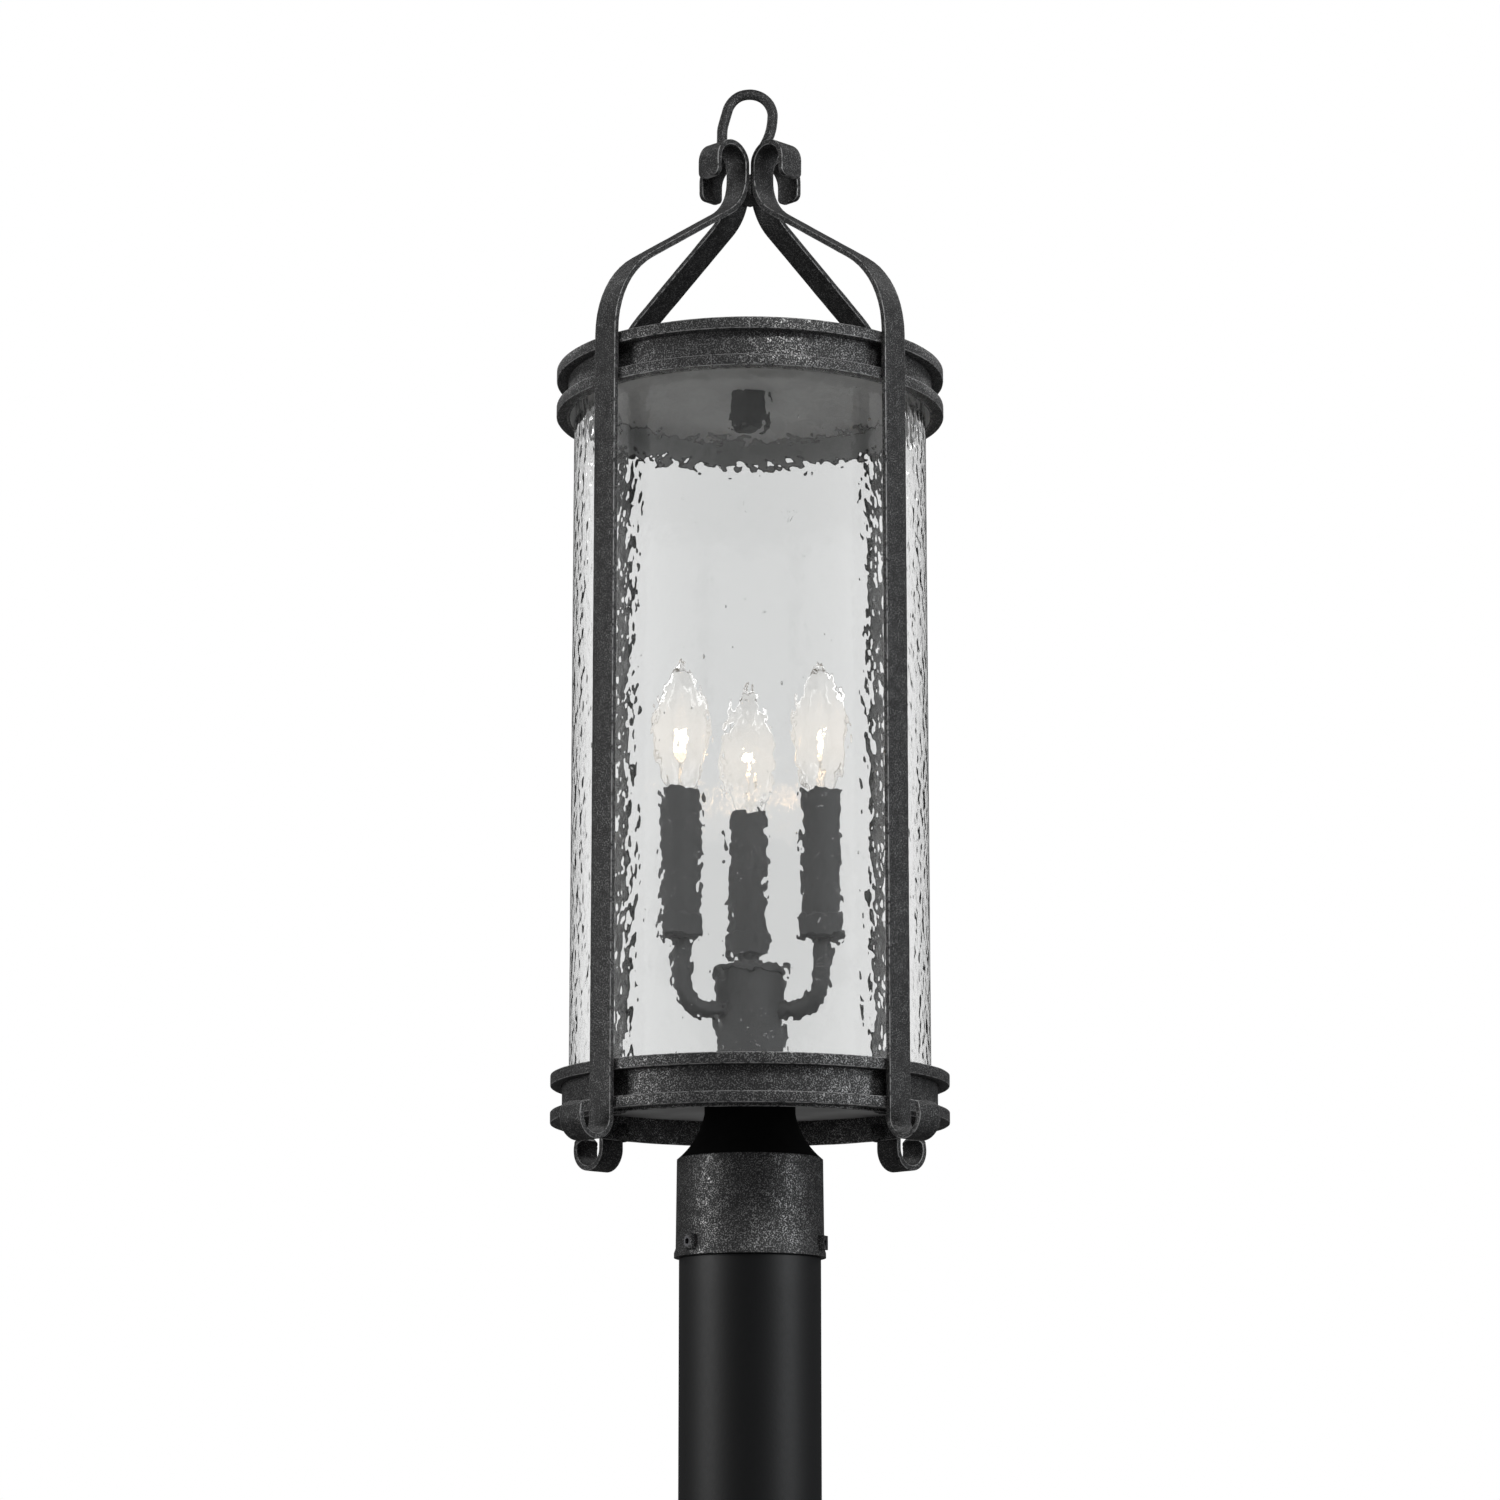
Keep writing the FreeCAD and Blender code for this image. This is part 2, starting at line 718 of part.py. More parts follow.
def loop_runs():
    """Foot, two opposite bends, a crown of more than a quarter turn each way, and a leaning tail."""
    turn, lean = size("loop_bend_turn"), size("loop_lean")
    bend = size("loop_bend_radius")
    start_x = size("loop_centre_x") + size("loop_radius") - 2 * bend * (1 - math.cos(math.radians(turn)))
    bends_low = size("loop_centre_height") - 2 * bend * math.sin(math.radians(turn))
    return walk(VECTOR(start_x, size("loop_foot"), 0), 90, [
        bends_low - size("loop_foot"),
        ("loop_bend_radius", -turn),
        ("loop_bend_radius", turn),
        ("loop_radius", 180 - lean),
        size("loop_lean_length"),
        ("loop_tail_radius", lean),
        size("loop_tail_length"),
    ])


def pipe(name, path, radius):
    """Round bar or wire along a path of lines and tangent arcs that starts along Z or X."""
    made = add("Part::Feature", name)
    start = path.OrderedVertexes[0].Point
    first = path.OrderedEdges[0]
    circle = Part.Wire(Part.Circle(start, first.tangentAt(first.FirstParameter), size(radius)).toShape())
    made.Shape = path.makePipeShell([circle], True, False)
    return made


def make_crown():
    """The square core between the straps' throats, and the round bar loop that stands on it."""
    loop = keep("top_loop", pipe("top_loop", bar_path(loop_runs()), "loop_bar_radius"))
    block = add("Part::Box", "core_block_blank")
    for length in ("Length", "Width"):
        block.setExpression(length, bound("2*throat_inner"))
    block.setExpression("Height", bound("core_high - core_low"))
    block.setExpression("Placement.Base.x", bound("0 - throat_inner"))
    block.setExpression("Placement.Base.y", bound("0 - throat_inner"))
    block.setExpression("Placement.Base.z", bound("core_low"))
    keep("core_block", cut("core_block", turned_copy("core_block_turned", block, 45), loop))


def make_hub():
    """Cup and lid, clamped to the bottom plate by a threaded nipple and its nut."""
    floor = "plate_low + plate_thick"
    stem_hole = "stem_radius + arm_hole_gap"
    cup = turned("hub_turned", [
        (stem_hole, floor),
        ("hub_radius", floor),
        ("hub_radius", "hub_high"),
        ("hub_radius - hub_wall", "hub_high"),
        ("hub_radius - hub_wall", floor + " + hub_wall"),
        (stem_hole, floor + " + hub_wall"),
    ])
    angles = [size("arm_first_angle") + 120 * k for k in range(CANDLE_COUNT)]
    hole = lying("hub_arm_hole", "arm_radius + arm_hole_gap",
                 "arm_start", "hub_radius + drill_over", "arm_height")
    keep("hub_body", cut("hub_body", cup, turned_copies("hub_arm_holes", hole, angles)))
    spigot = "hub_radius - hub_wall - spigot_gap"
    keep("hub_lid", turned("hub_lid", [
        ("0", "hub_high - lid_spigot"),
        (spigot, "hub_high - lid_spigot"),
        (spigot, "hub_high"),
        ("lid_radius", "hub_high"),
        ("lid_radius", "hub_high + lid_thick - lid_edge"),
        ("lid_radius - lid_edge", "hub_high + lid_thick"),
        ("0", "hub_high + lid_thick"),
    ]))
    keep("stem_nipple", ring("stem_nipple", "stem_radius", "stem_bore", "stem_low", "stem_high"))
    hexagon = add("Part::Prism", "stem_nut_hexagon")
    hexagon.Polygon = 6
    hexagon.setExpression("Circumradius", bound("stem_nut_radius"))
    hexagon.setExpression("Height", bound("stem_nut_thick"))
    hexagon.setExpression("Placement.Base.z", bound(floor + " + hub_wall"))
    bore = cylinder("stem_nut_bore", "stem_radius", floor, "stem_high")
    keep("stem_nut", cut("stem_nut", hexagon, bore))


def arm_runs(start, high):
    """Out from the hub at one height, round the bend and up."""
    reach, bend, height = size("arm_reach"), size("arm_bend"), size("arm_height")
    return walk(VECTOR(start, height, 0), 0, [reach - bend - start, ("arm_bend", 90), high - height - bend])


def make_arms(angles):
    path = bar_path(arm_runs(size("arm_start"), size("arm_high")))
    arm = cut("arm", pipe("arm_bar", path, "arm_radius"), pipe("arm_bore_way", path, "arm_bore"))
    for number, angle in enumerate(angles, 1):
        keep("arm_%d" % number, turned_copy("arm_%d" % number, arm, angle))
    start, end = "arm_nut_start", "arm_nut_start + arm_nut_thick"
    hexagon = lying_prism("arm_nut_hexagon", "arm_nut_radius", start, end, "arm_height")
    bore = lying("arm_nut_bore", "arm_radius", start + " - drill_over", end + " + drill_over", "arm_height")
    keep("arm_nuts", turned_copies("arm_nuts", cut("arm_nut", hexagon, bore), angles))
    leads = []
    for side in (1, -1):
        path = bar_path(arm_runs(size("lead_start"), size("lead_high")), side * size("lead_spread"))
        leads.append(pipe("lead_%d" % len(leads), path, "lead_radius"))
    keep("arm_leads", turned_copies("arm_leads", group("lead_pair", leads), angles))


def candle_parts():
    """The pieces of one candle, drawn on the Z axis: cup, sleeve, socket, shell, contact."""
    arm_fit = "arm_radius + arm_fit_gap"
    sleeve_fit = "sleeve_radius + arm_fit_gap"
    foot = "arm_high - socket_grip"
    shelf = "arm_high + socket_foot"
    contact_low = "shell_low - contact_thick - contact_rim"
    cup = turned("cup_template", [
        (arm_fit, "cup_low"),
        ("cup_radius - cup_base_edge", "cup_low"),
        ("cup_radius", "cup_low + cup_base_edge"),
        ("cup_radius", "cup_high - 2*cup_lip_edge"),
        ("cup_radius - cup_lip_edge", "cup_high"),
        (sleeve_fit, "cup_high"),
        (sleeve_fit, "cup_low + cup_floor"),
        (arm_fit, "cup_low + cup_floor"),
    ])
    sleeve = ring("sleeve_template", "sleeve_radius", "sleeve_radius - sleeve_wall",
                  "cup_low + cup_floor", "sleeve_high")
    socket = turned("socket_template", [
        (arm_fit, foot),
        ("socket_radius", foot),
        ("socket_radius", "socket_high"),
        ("shell_radius", "socket_high"),
        ("shell_radius", contact_low),
        ("contact_radius + contact_rim", contact_low),
        ("contact_radius + contact_rim", shelf),
        (arm_fit, shelf),
    ])
    shell = ring("shell_template", "shell_radius", "shell_radius - shell_wall", "shell_low", "shell_high")
    contact = cylinder("contact_template", "contact_radius", contact_low, "shell_low")
    return {"candle_cup": cup, "candle_sleeve": sleeve, "socket_body": socket,
            "socket_shell": shell, "socket_contact": contact}


def envelope_line(inset):
    """The torpedo's outline from neck to tip: a sine swell up to the widest, an ogive above it."""
    neck, widest = size("bulb_neck_flare"), size("bulb_radius")
    low, middle, high = size("bulb_neck_high"), size("bulb_widest"), size("bulb_high") - 2 * inset
    points = [VECTOR(size("bulb_neck_radius") - inset, 0, size("base_high") - size("base_lap"))]
    for step in range(SWELL_STEPS):
        share = step / SWELL_STEPS
        swell = math.sin(share * math.pi / 2) ** SWELL_POWER
        points.append(VECTOR(neck + (widest - neck) * swell - inset, 0, low + (middle - low) * share))
    for step in range(OGIVE_STEPS):
        share = step / OGIVE_STEPS
        width = (widest - inset) * (1 - share ** OGIVE_POWER)
        points.append(VECTOR(width, 0, middle + (high - middle) * share))
    points.append(VECTOR(0, 0, high))
    curve = Part.BSplineCurve()
    curve.interpolate(points)
    return curve.toShape(), points


def envelope_shell():
    """The lamp's thin glass, turned from an outer and an inner outline that meet the axis at the tip."""
    outer, outer_points = envelope_line(0)
    inner, inner_points = envelope_line(size("bulb_glass_wall"))
    axis_line = Part.LineSegment(outer_points[-1], inner_points[-1]).toShape()
    neck_line = Part.LineSegment(inner_points[0], outer_points[0]).toShape()
    face = Part.Face(Part.Wire([outer, axis_line, inner, neck_line]))
    made = add("Part::Feature", "envelope_template")
    made.Shape = face.revolve(VECTOR(0, 0, 0), VECTOR(0, 0, 1), 360)
    return made


def lamp_parts():
    """One lamp on the Z axis: torpedo envelope, threaded base with its tip contact, filaments."""
    envelope = envelope_shell()
    base = turned("base_template", [
        ("0", "base_low"),
        ("contact_radius - base_tip_edge", "base_low"),
        ("contact_radius", "base_low + 2*base_tip_edge"),
        ("base_radius", "base_shoulder"),
        ("base_radius", "base_high - base_lap"),
        ("0", "base_high - base_lap"),
    ])
    stalk = cylinder("stalk_template", "stalk_radius", "base_high - base_lap", "stalk_high")
    first = cylinder("filament_left", "filament_radius", "filament_low", "filament_high")
    first.setExpression("Placement.Base.x", bound("0 - filament_spread/2"))
    second = cylinder("filament_right", "filament_radius", "filament_low", "filament_high")
    second.setExpression("Placement.Base.x", bound("filament_spread/2"))
    filament = fuse("filament_template", [stalk, first, second])
    return {"bulb_glass": envelope, "bulb_base": base, "bulb_filament": filament}


def make_candles(angles):
    reach = size("arm_reach")
    parts = dict(candle_parts(), **lamp_parts())
    contact = parts.pop("socket_contact")
    places = []
    for angle in angles:
        turn = math.radians(angle)
        place = VECTOR(reach * math.cos(turn), reach * math.sin(turn), 0)
        places.append(FreeCAD.Placement(place, FreeCAD.Rotation(VECTOR(0, 0, 1), angle)))
    for word, template in parts.items():
        for number, place in enumerate(places, 1):
            copy = group("%s_%d" % (word, number), [template])
            copy.Placement = place
            keep("%s_%d" % (word, number), copy)
    contacts = []
    for number, place in enumerate(places, 1):
        copy = group("socket_contact_%d" % number, [contact])
        copy.Placement = place
        contacts.append(copy)
    keep("socket_contacts", group("socket_contacts", contacts))


def check_and_write():
    """Stops on any failed object or bad shape, then writes one STEP file per sub-part."""
    doc.recompute()
    for thing in doc.Objects:
        if "Invalid" in thing.State or "Error" in thing.State:
            raise RuntimeError("%s is in state %s" % (thing.Name, thing.State))
    for name, thing in nodes.items():
        shape = thing.Shape
        if shape.isNull() or not shape.isValid() or not shape.Solids:
            raise RuntimeError("%s has no valid solid" % name)
    os.makedirs("parts", exist_ok=True)
    for name, thing in nodes.items():
        thing.Shape.exportStep("parts/%s.step" % name)
    print("%d sub-parts written" % len(nodes))


def main():
    angles = [size("arm_first_angle") + 360 / CANDLE_COUNT * k for k in range(CANDLE_COUNT)]
    make_post()
    make_collar()
    make_set_screws()
    make_pans()
    make_roof()
    make_glass()
    for name, degrees in STRAP_ANGLES.items():
        make_strap(name, degrees)
    make_strap_fasteners()
    make_crown()
    make_hub()
    make_arms(angles)
    make_candles(angles)
    check_and_write()


main()
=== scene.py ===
import json
import math
import random

import bmesh
import bpy
from bpy.props import FloatProperty, FloatVectorProperty, IntProperty, PointerProperty
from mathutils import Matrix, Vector, noise

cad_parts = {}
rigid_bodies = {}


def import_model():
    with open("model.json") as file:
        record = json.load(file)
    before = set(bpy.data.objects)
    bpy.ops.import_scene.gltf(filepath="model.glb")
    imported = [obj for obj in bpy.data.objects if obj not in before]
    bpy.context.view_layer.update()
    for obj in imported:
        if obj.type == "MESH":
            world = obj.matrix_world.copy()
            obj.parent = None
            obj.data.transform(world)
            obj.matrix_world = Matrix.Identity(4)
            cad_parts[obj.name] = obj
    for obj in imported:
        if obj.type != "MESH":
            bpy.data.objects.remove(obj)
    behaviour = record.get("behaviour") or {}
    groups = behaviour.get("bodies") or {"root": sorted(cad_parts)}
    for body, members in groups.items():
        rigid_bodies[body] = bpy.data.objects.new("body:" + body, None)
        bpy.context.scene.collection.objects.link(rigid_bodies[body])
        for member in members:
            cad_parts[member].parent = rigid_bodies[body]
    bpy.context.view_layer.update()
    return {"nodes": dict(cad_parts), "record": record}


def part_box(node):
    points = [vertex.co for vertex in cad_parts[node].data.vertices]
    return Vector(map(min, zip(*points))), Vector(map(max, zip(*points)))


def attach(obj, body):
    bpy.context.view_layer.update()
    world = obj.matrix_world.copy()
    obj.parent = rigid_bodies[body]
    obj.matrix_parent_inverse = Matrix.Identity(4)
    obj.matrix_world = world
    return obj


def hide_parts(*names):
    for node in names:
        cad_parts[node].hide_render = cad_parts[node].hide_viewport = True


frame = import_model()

bl_info = {
    "name": "Post lantern looks",
    "version": (1, 0, 0),
    "blender": (4, 5, 0),
    "location": "3D View > Sidebar > Lantern",
    "description": "Builds the finished surfaces of a three-light post lantern round its packed frame",
    "category": "Object",
}

# The CAD model's box, its bodies and its material slots, all in metres and in the frame's own words.
SLOT_OF = {row["node"]: row["material_slot"] for row in frame["record"]["subparts"]}
BODY_OF = {
    node: body
    for body, members in frame["record"]["behaviour"]["bodies"].items()
    for node in members
}
LAMP_NUMBERS = (1, 2, 3)
STRAP_ANGLES = {
    "strap_front_left": 225.0,
    "strap_front_right": 315.0,
    "strap_back_left": 135.0,
    "strap_back_right": 45.0,
}
UP = Vector((0.0, 0.0, 1.0))
WHITE = (1.0, 1.0, 1.0)
CLEAR = (1.0, 1.0, 1.0, 1.0)

# Edges sharper than the first angle stay crisp, and CAD facets flatter than the second are joined.
SHARP_ANGLE = math.radians(35.0)
FLAT_ANGLE = math.radians(0.6)
SOFT_EDGE_SEGMENTS = 2

# Points closer than this are merged, in metres.
CAD_MERGE = 2e-6
MESH_MERGE = 1e-7

# How finely the meshes are cut: lengths in metres, and steps round a full turn.
STRAP_CUT = 0.0027
RING_CUT = 0.004
POST_CUT = 0.02
LOOP_SPACING = 0.002
RING_STEPS = 180
POST_STEPS = 144
LAMP_STEPS = 56
STEM_STEPS = 24
LOOP_SIDES = 20
WIRE_SIDES = 8

# Where a strap's rounded tip gets its stations, as shares of the tip's radius.
TIP_SHARES = (0.0, 0.06, 0.2, 0.4, 0.65, 0.9)

# Width of the hammered dents, in metres, and how much deeper they are on the loop.
STRAP_DENT_SIZE = 0.009
RING_DENT_SIZE = 0.011
LOOP_DENT_SIZE = 0.006
LOOP_DENT_DEPTH_SHARE = 1.5

# The top loop below its crown.
LOOP_CENTRE_X = -0.0002
LOOP_CENTRE_HEIGHT = 0.8342
LOOP_FOOT = 0.786
LOOP_LEAN_LENGTH = 0.009
LOOP_TAIL_RADIUS = 0.020
LOOP_TAIL_LENGTH = 0.019

# The post's turned-down upper end and its bore.
SPIGOT_RADIUS = 0.0375
SPIGOT_LOW = 0.190
BORE_RADIUS = 0.0351
POST_EDGE_ROUND = 0.0003

# Castings and fasteners that keep their CAD shape, with the width of their softened edges.
CASTING_EDGES = {
    "collar_casting": 0.0005,
    "core_block": 0.0006,
    "bottom_nuts": 0.0003,
    "top_nuts": 0.0003,
    "roof_cap_nut": 0.0004,
    "ceiling_boss": 0.0004,
    "hub_lid": 0.0004,
}

# Bands and hoops whose inner faces are painted the plates' plain grey as painted light, which hides the shade
# in the gap by the ceiling plate, and how squarely such a face looks at the axis.
PAINTED_LIGHT_INSIDE = ("top_band", "top_lower_hoop")
INWARD_SHARE = -0.9

# The glass cylinder: its grid, its slow waves, and the seeds in its wall.
GLASS_COLUMNS = 300
GLASS_ROWS = 190
WAVE_LENGTH = 0.014
INNER_WAVE_SHIFT = 7.0
SEED_RANDOM = 11
SEED_MARGIN = 0.005
SEED_DEPTHS = (0.3, 0.7)
SEED_SIZE = 0.0002
SEED_SIZE_SPREAD = 0.0004
SEED_SIZE_POWER = 2.5
SEED_STRETCHES = (1.0, 2.4)

# A lamp's envelope: (radius, rise) at its neck, then the swell to its widest and the taper to its tip.
LAMP_NECK = ((0.0064, 0.0), (0.0065, 0.003))
LAMP_NECK_LENGTH = 0.008
LAMP_FLARE_RADIUS = 0.0076
LAMP_WIDEST_RISE = 0.0386
LAMP_SWELL_STEPS = 12
LAMP_SWELL_POWER = 0.9
LAMP_TAPER_STEPS = 22
LAMP_TAPER_POWER = 1.9
LAMP_TIP_RADIUS = 0.004

# A lamp's stem as (radius, rise), its coil, and the two wires that hold the coil. A wire's foot is given by
# its distance from the axis and its rise above the stem's foot, and its knee by its distance from the axis
# and its drop below the coil.
STEM = ((0.0001, 0.0), (0.0022, 0.0), (0.0021, 0.006), (0.0015, 0.016), (0.0011, 0.022), (0.0001, 0.023))
COIL_TURNS = 9
COIL_TURN_STEPS = 16
COIL_LOW = 0.462
COIL_HIGH = 0.475
COIL_RADIUS = 0.0015
COIL_WIRE = 0.00045
SUPPORT_WIRE = 0.00022
SUPPORT_FOOT = (0.0008, 0.020)
SUPPORT_KNEE = (0.0016, 0.002)

# The studio's lamps: size, place, power, colour, and the pieces besides the floor that each one spares.
LAMP_ENVELOPES = tuple("bulb_glass_%d_envelope" % number for number in LAMP_NUMBERS)
CLEAR_PIECES = ("glass_cylinder_rippled",) + LAMP_ENVELOPES
LIGHTS_AIM = (0.0, 0.0, 0.40)
STUDIO_LIGHTS = {
    "left_strip": ((0.62, 0.8), (-1.50, -0.55, 0.52), 10.0, WHITE, CLEAR_PIECES),
    "right_strip": ((0.62, 0.8), (1.42, -0.72, 0.52), 9.5, (0.96, 0.98, 1.0), CLEAR_PIECES),
    "front_card": ((0.55, 0.35), (0.62, -1.4, 1.35), 12.0, WHITE, CLEAR_PIECES + ("post_tube_painted",)),
    "high_left": ((0.6, 0.9), (-1.5, -0.9, 2.2), 4.0, WHITE, ()),
    "high_right": ((0.6, 0.9), (1.2, -1.1, 2.3), 6.0, WHITE, ()),
    "back_left": ((0.6, 1.2), (-1.4, 1.4, 1.9), 9.0, WHITE, ()),
    "back_right": ((0.6, 1.2), (1.4, 1.4, 1.9), 9.0, WHITE, ()),
}
FLOOR_HALF_WIDTH = 30.0
FLOOR_SEGMENTS = 8
SUN_SPREAD = math.radians(40.0)
SUN_TILT = (math.radians(12.0), math.radians(-14.0), 0.0)


def length(name, description, default):
    """A property that holds a length in metres."""
    return FloatProperty(name=name, description=description, default=default, min=0.0,
                         unit="LENGTH", subtype="DISTANCE", precision=5)


def angle(name, description, degrees):
    """A property that holds an angle."""
    return FloatProperty(name=name, description=description, default=math.radians(degrees),
                         unit="ROTATION", subtype="ANGLE")


def colour(name, description, default):
    """A property that holds a linear colour."""
    return FloatVectorProperty(name=name, description=description, default=default,
                               subtype="COLOR", size=3, min=0.0, max=1.0)


class LANTERN_PG_metal(bpy.types.PropertyGroup):
    """Sizes and colours of the forged iron and the post."""

    band_wall: length("Band wall", "Thickness of the sheet the two bands are rolled from", 0.0015)
    edge_round: length("Edge round", "Radius of the softened edges of the bars", 0.0006)
    # Painted shade: above this height the collar casting gets a near-black finish for the shade under the
    # plate, though the neck is the same casting as the collar.
    neck_low: length("Neck start", "Height where the collar's black neck starts", 0.2437)
    forge_dent: length("Forge dent", "Depth of the hammered unevenness", 0.0002)
    iron_dark: colour("Iron, dark", "Darkest shade of the forged iron", (0.013, 0.013, 0.0135))
    iron_light: colour("Iron, light", "Lightest shade of the forged iron", (0.022, 0.022, 0.0225))
    speckle: colour("Speckle", "Bare metal that shows through the finish", (0.42, 0.42, 0.42))
    post_paint: colour("Post paint", "Smooth satin black of the post", (0.0045, 0.0048, 0.0055))
    # Partly the plates' own grey and partly painted light: the grey is made lighter to stand for the light
    # reflected onto the plates.
    inner_paint: colour("Inner paint", "Plain grey of the plates inside the bands", (0.30, 0.30, 0.30))
    cluster_paint: colour("Cluster paint", "Matt charcoal of the candle cluster", (0.034, 0.034, 0.035))


class LANTERN_PG_straps(bpy.types.PropertyGroup):
    """Sizes of the four flat straps and of the round bar loop."""

    width: length("Width", "Width of the flat bar", 0.016)
    thick: length("Thickness", "Thickness of the flat bar", 0.0032)
    tip_round: length("Tip round", "Radius of the corners at the two ends of a strap", 0.004)
    curl_radius: length("Curl radius", "Radius of the bottom curl", 0.0105)
    curl_tip_turn: angle("Curl tip turn", "How far the bottom curl goes past the half turn", 40.0)
    shoulder_low: length("Shoulder height", "Height where the upright starts to bend inward", 0.683)
    shoulder_radius: length("Shoulder radius", "Radius of the bend over the roof", 0.058)
    shoulder_turn: angle("Shoulder turn", "How far the shoulder bends", 57.0)
    throat_radius: length("Throat radius", "Radius of the bend back to upright", 0.028)
    throat_inner: length("Throat half width", "Distance from the axis to a strap's face in the throat", 0.008)
    scroll_radius: length("Scroll radius", "Radius of the top scroll", 0.011)
    scroll_centre: length("Scroll height", "Height of the top scroll's centre", 0.8008)
    scroll_tip: length("Scroll tip height", "Height of the top scroll's end", 0.7905)
    loop_bar: length("Loop bar radius", "Radius of the round bar of the top loop", 0.0031)
    loop_radius: length("Loop radius", "Radius of the top loop's crown", 0.013)
    loop_bend: length("Loop bend radius", "Radius of the two bends below the crown", 0.036)
    loop_turn: angle("Loop bend turn", "How far each of the two bends turns", 30.0)
    loop_lean: angle("Loop lean", "How far the tail leans before it drops", 15.0)


class LANTERN_PG_glass(bpy.types.PropertyGroup):
    """Sizes and colours of the glass cylinder and the lamps."""

    wall: length("Wall", "Thickness of the glass cylinder", 0.004)
    wave_height: length("Wave height", "Height of the slow waves in the two faces", 0.00006)
    ripple_height: length("Ripple height", "Height of the short ripples in the two faces", 0.00031)
    seed_count: IntProperty(name="Seeds", description="Number of small bubbles in the glass",
                            default=150, min=0)
    # Partly the glass's own faint tint, mostly painted shade: this grey at each face darkens what shows
    # through the glass.
    tint_and_painted_shade: colour("Tint", "Colour of the glass at each face", (0.913, 0.916, 0.915))
    lamp_wall: length("Lamp wall", "Thickness of the lamps' glass", 0.0008)
    # Painted glow: the colour the lamps' glass itself emits faintly round the coil, though the glass is no
    # lamp.
    painted_glow_colour: colour("Haze", "Colour of the light the lamps' glass picks up", (1.0, 0.90, 0.78))
    glow: colour("Glow", "Colour of the lit filament", (1.0, 0.76, 0.48))
    glow_strength: FloatProperty(name="Glow strength", description="Brightness of the lit filament",
                                 default=6.0, min=0.0)


class LANTERN_PG_stage(bpy.types.PropertyGroup):
    """The studio round the lantern."""

    camera_distance: length("Camera distance", "Distance from the camera to the lantern's axis", 2.243)
    camera_height: length("Camera height", "Height of the camera above the post's lower end", 0.018)
    camera_pitch: angle("Camera pitch", "How far the camera looks up", 11.35)
    lens: FloatProperty(name="Lens", description="Focal length on a 36 mm sensor",
                        default=100.0, unit="CAMERA")
    surround: FloatProperty(name="Surround", description="Light of the studio apart from its lamps",
                            default=0.08, min=0.0)
    ground_glow: FloatProperty(name="Ground glow", description="Light that comes back up from the floor",
                               default=0.32, min=0.0)
    floor_sun: FloatProperty(name="Floor light", description="Strength of the light on the floor alone",
                             default=3.2, min=0.0)
    floor_colour: colour("Floor", "Colour of the plain floor", (0.80, 0.80, 0.79))


class Signal:
    """One socket of a node tree. Arithmetic on it adds Math nodes, and node() adds any other node."""

    def __init__(self, tree, socket=None):
        self.tree = tree
        self.socket = socket

    def node(self, kind, settings, sockets, output=0):
        """Adds a node, sets it up, fills or links its inputs, and gives one of its outputs."""
        made = self.tree.nodes.new(kind)
        for word, value in settings.items():
            setattr(made, word, value)
        for key, value in sockets.items():
            if isinstance(value, Signal):
                self.tree.links.new(value.socket, made.inputs[key])
            else:
                made.inputs[key].default_value = value
        return Signal(self.tree, made.outputs[output] if made.outputs else None)

    def math(self, operation, first, second):
        """A Math node's result for two sockets or numbers."""
        return self.node("ShaderNodeMath", {"operation": operation}, {0: first, 1: second})

    def __add__(self, other):
        return self.math("ADD", self, other)

    def __radd__(self, other):
        return self.math("ADD", other, self)

    def __sub__(self, other):
        return self.math("SUBTRACT", self, other)

    def __rsub__(self, other):
        return self.math("SUBTRACT", other, self)

    def __mul__(self, other):
        return self.math("MULTIPLY", self, other)

    def __rmul__(self, other):
        return self.math("MULTIPLY", other, self)

    def between(self, low, high):
        """0 below low, 1 above high, and smooth between them."""
        return self.node("ShaderNodeMapRange", {"interpolation_type": "SMOOTHSTEP"},
                         {"Value": self, "From Min": low, "From Max": high})

    def place(self):
        """Where a point lies on its piece, in metres."""
        return self.node("ShaderNodeTexCoord", {}, {}, "Object")

    def grain(self, size, detail=2.0, stretch=(1.0, 1.0, 1.0)):
        """Noise whose patches are about size metres across, stretched along the axes."""
        scaled = self.node("ShaderNodeVectorMath", {"operation": "MULTIPLY"},
                           {0: self.place(), 1: [1.0 / share for share in stretch]})
        return self.node("ShaderNodeTexNoise", {}, {"Vector": scaled, "Scale": 1.0 / size, "Detail": detail})

    def blend(self, share, first, second):
        """A colour between two others."""
        return self.node("ShaderNodeMix", {"data_type": "RGBA"}, {0: share, 6: first, 7: second}, 2)

    def relief(self, height, depth):
        """A normal from a height between 0 and 1 that stands for depth metres."""
        return self.node("ShaderNodeBump", {}, {"Height": height, "Distance": depth})


def opaque(shade, scale=1.0):
    """A stored colour as a socket takes it."""
    return [channel * scale for channel in shade] + [1.0]


def finish(name, paint):
    """The material of that name, painted by its function the first time it is asked for."""
    found = bpy.data.materials.get(name)
    if found is not None:
        return found
    made = bpy.data.materials.new(name)
    made.use_nodes = True
    made.node_tree.nodes.clear()
    tree = Signal(made.node_tree)
    tree.node("ShaderNodeOutputMaterial", {}, {"Surface": paint(tree)})
    return made


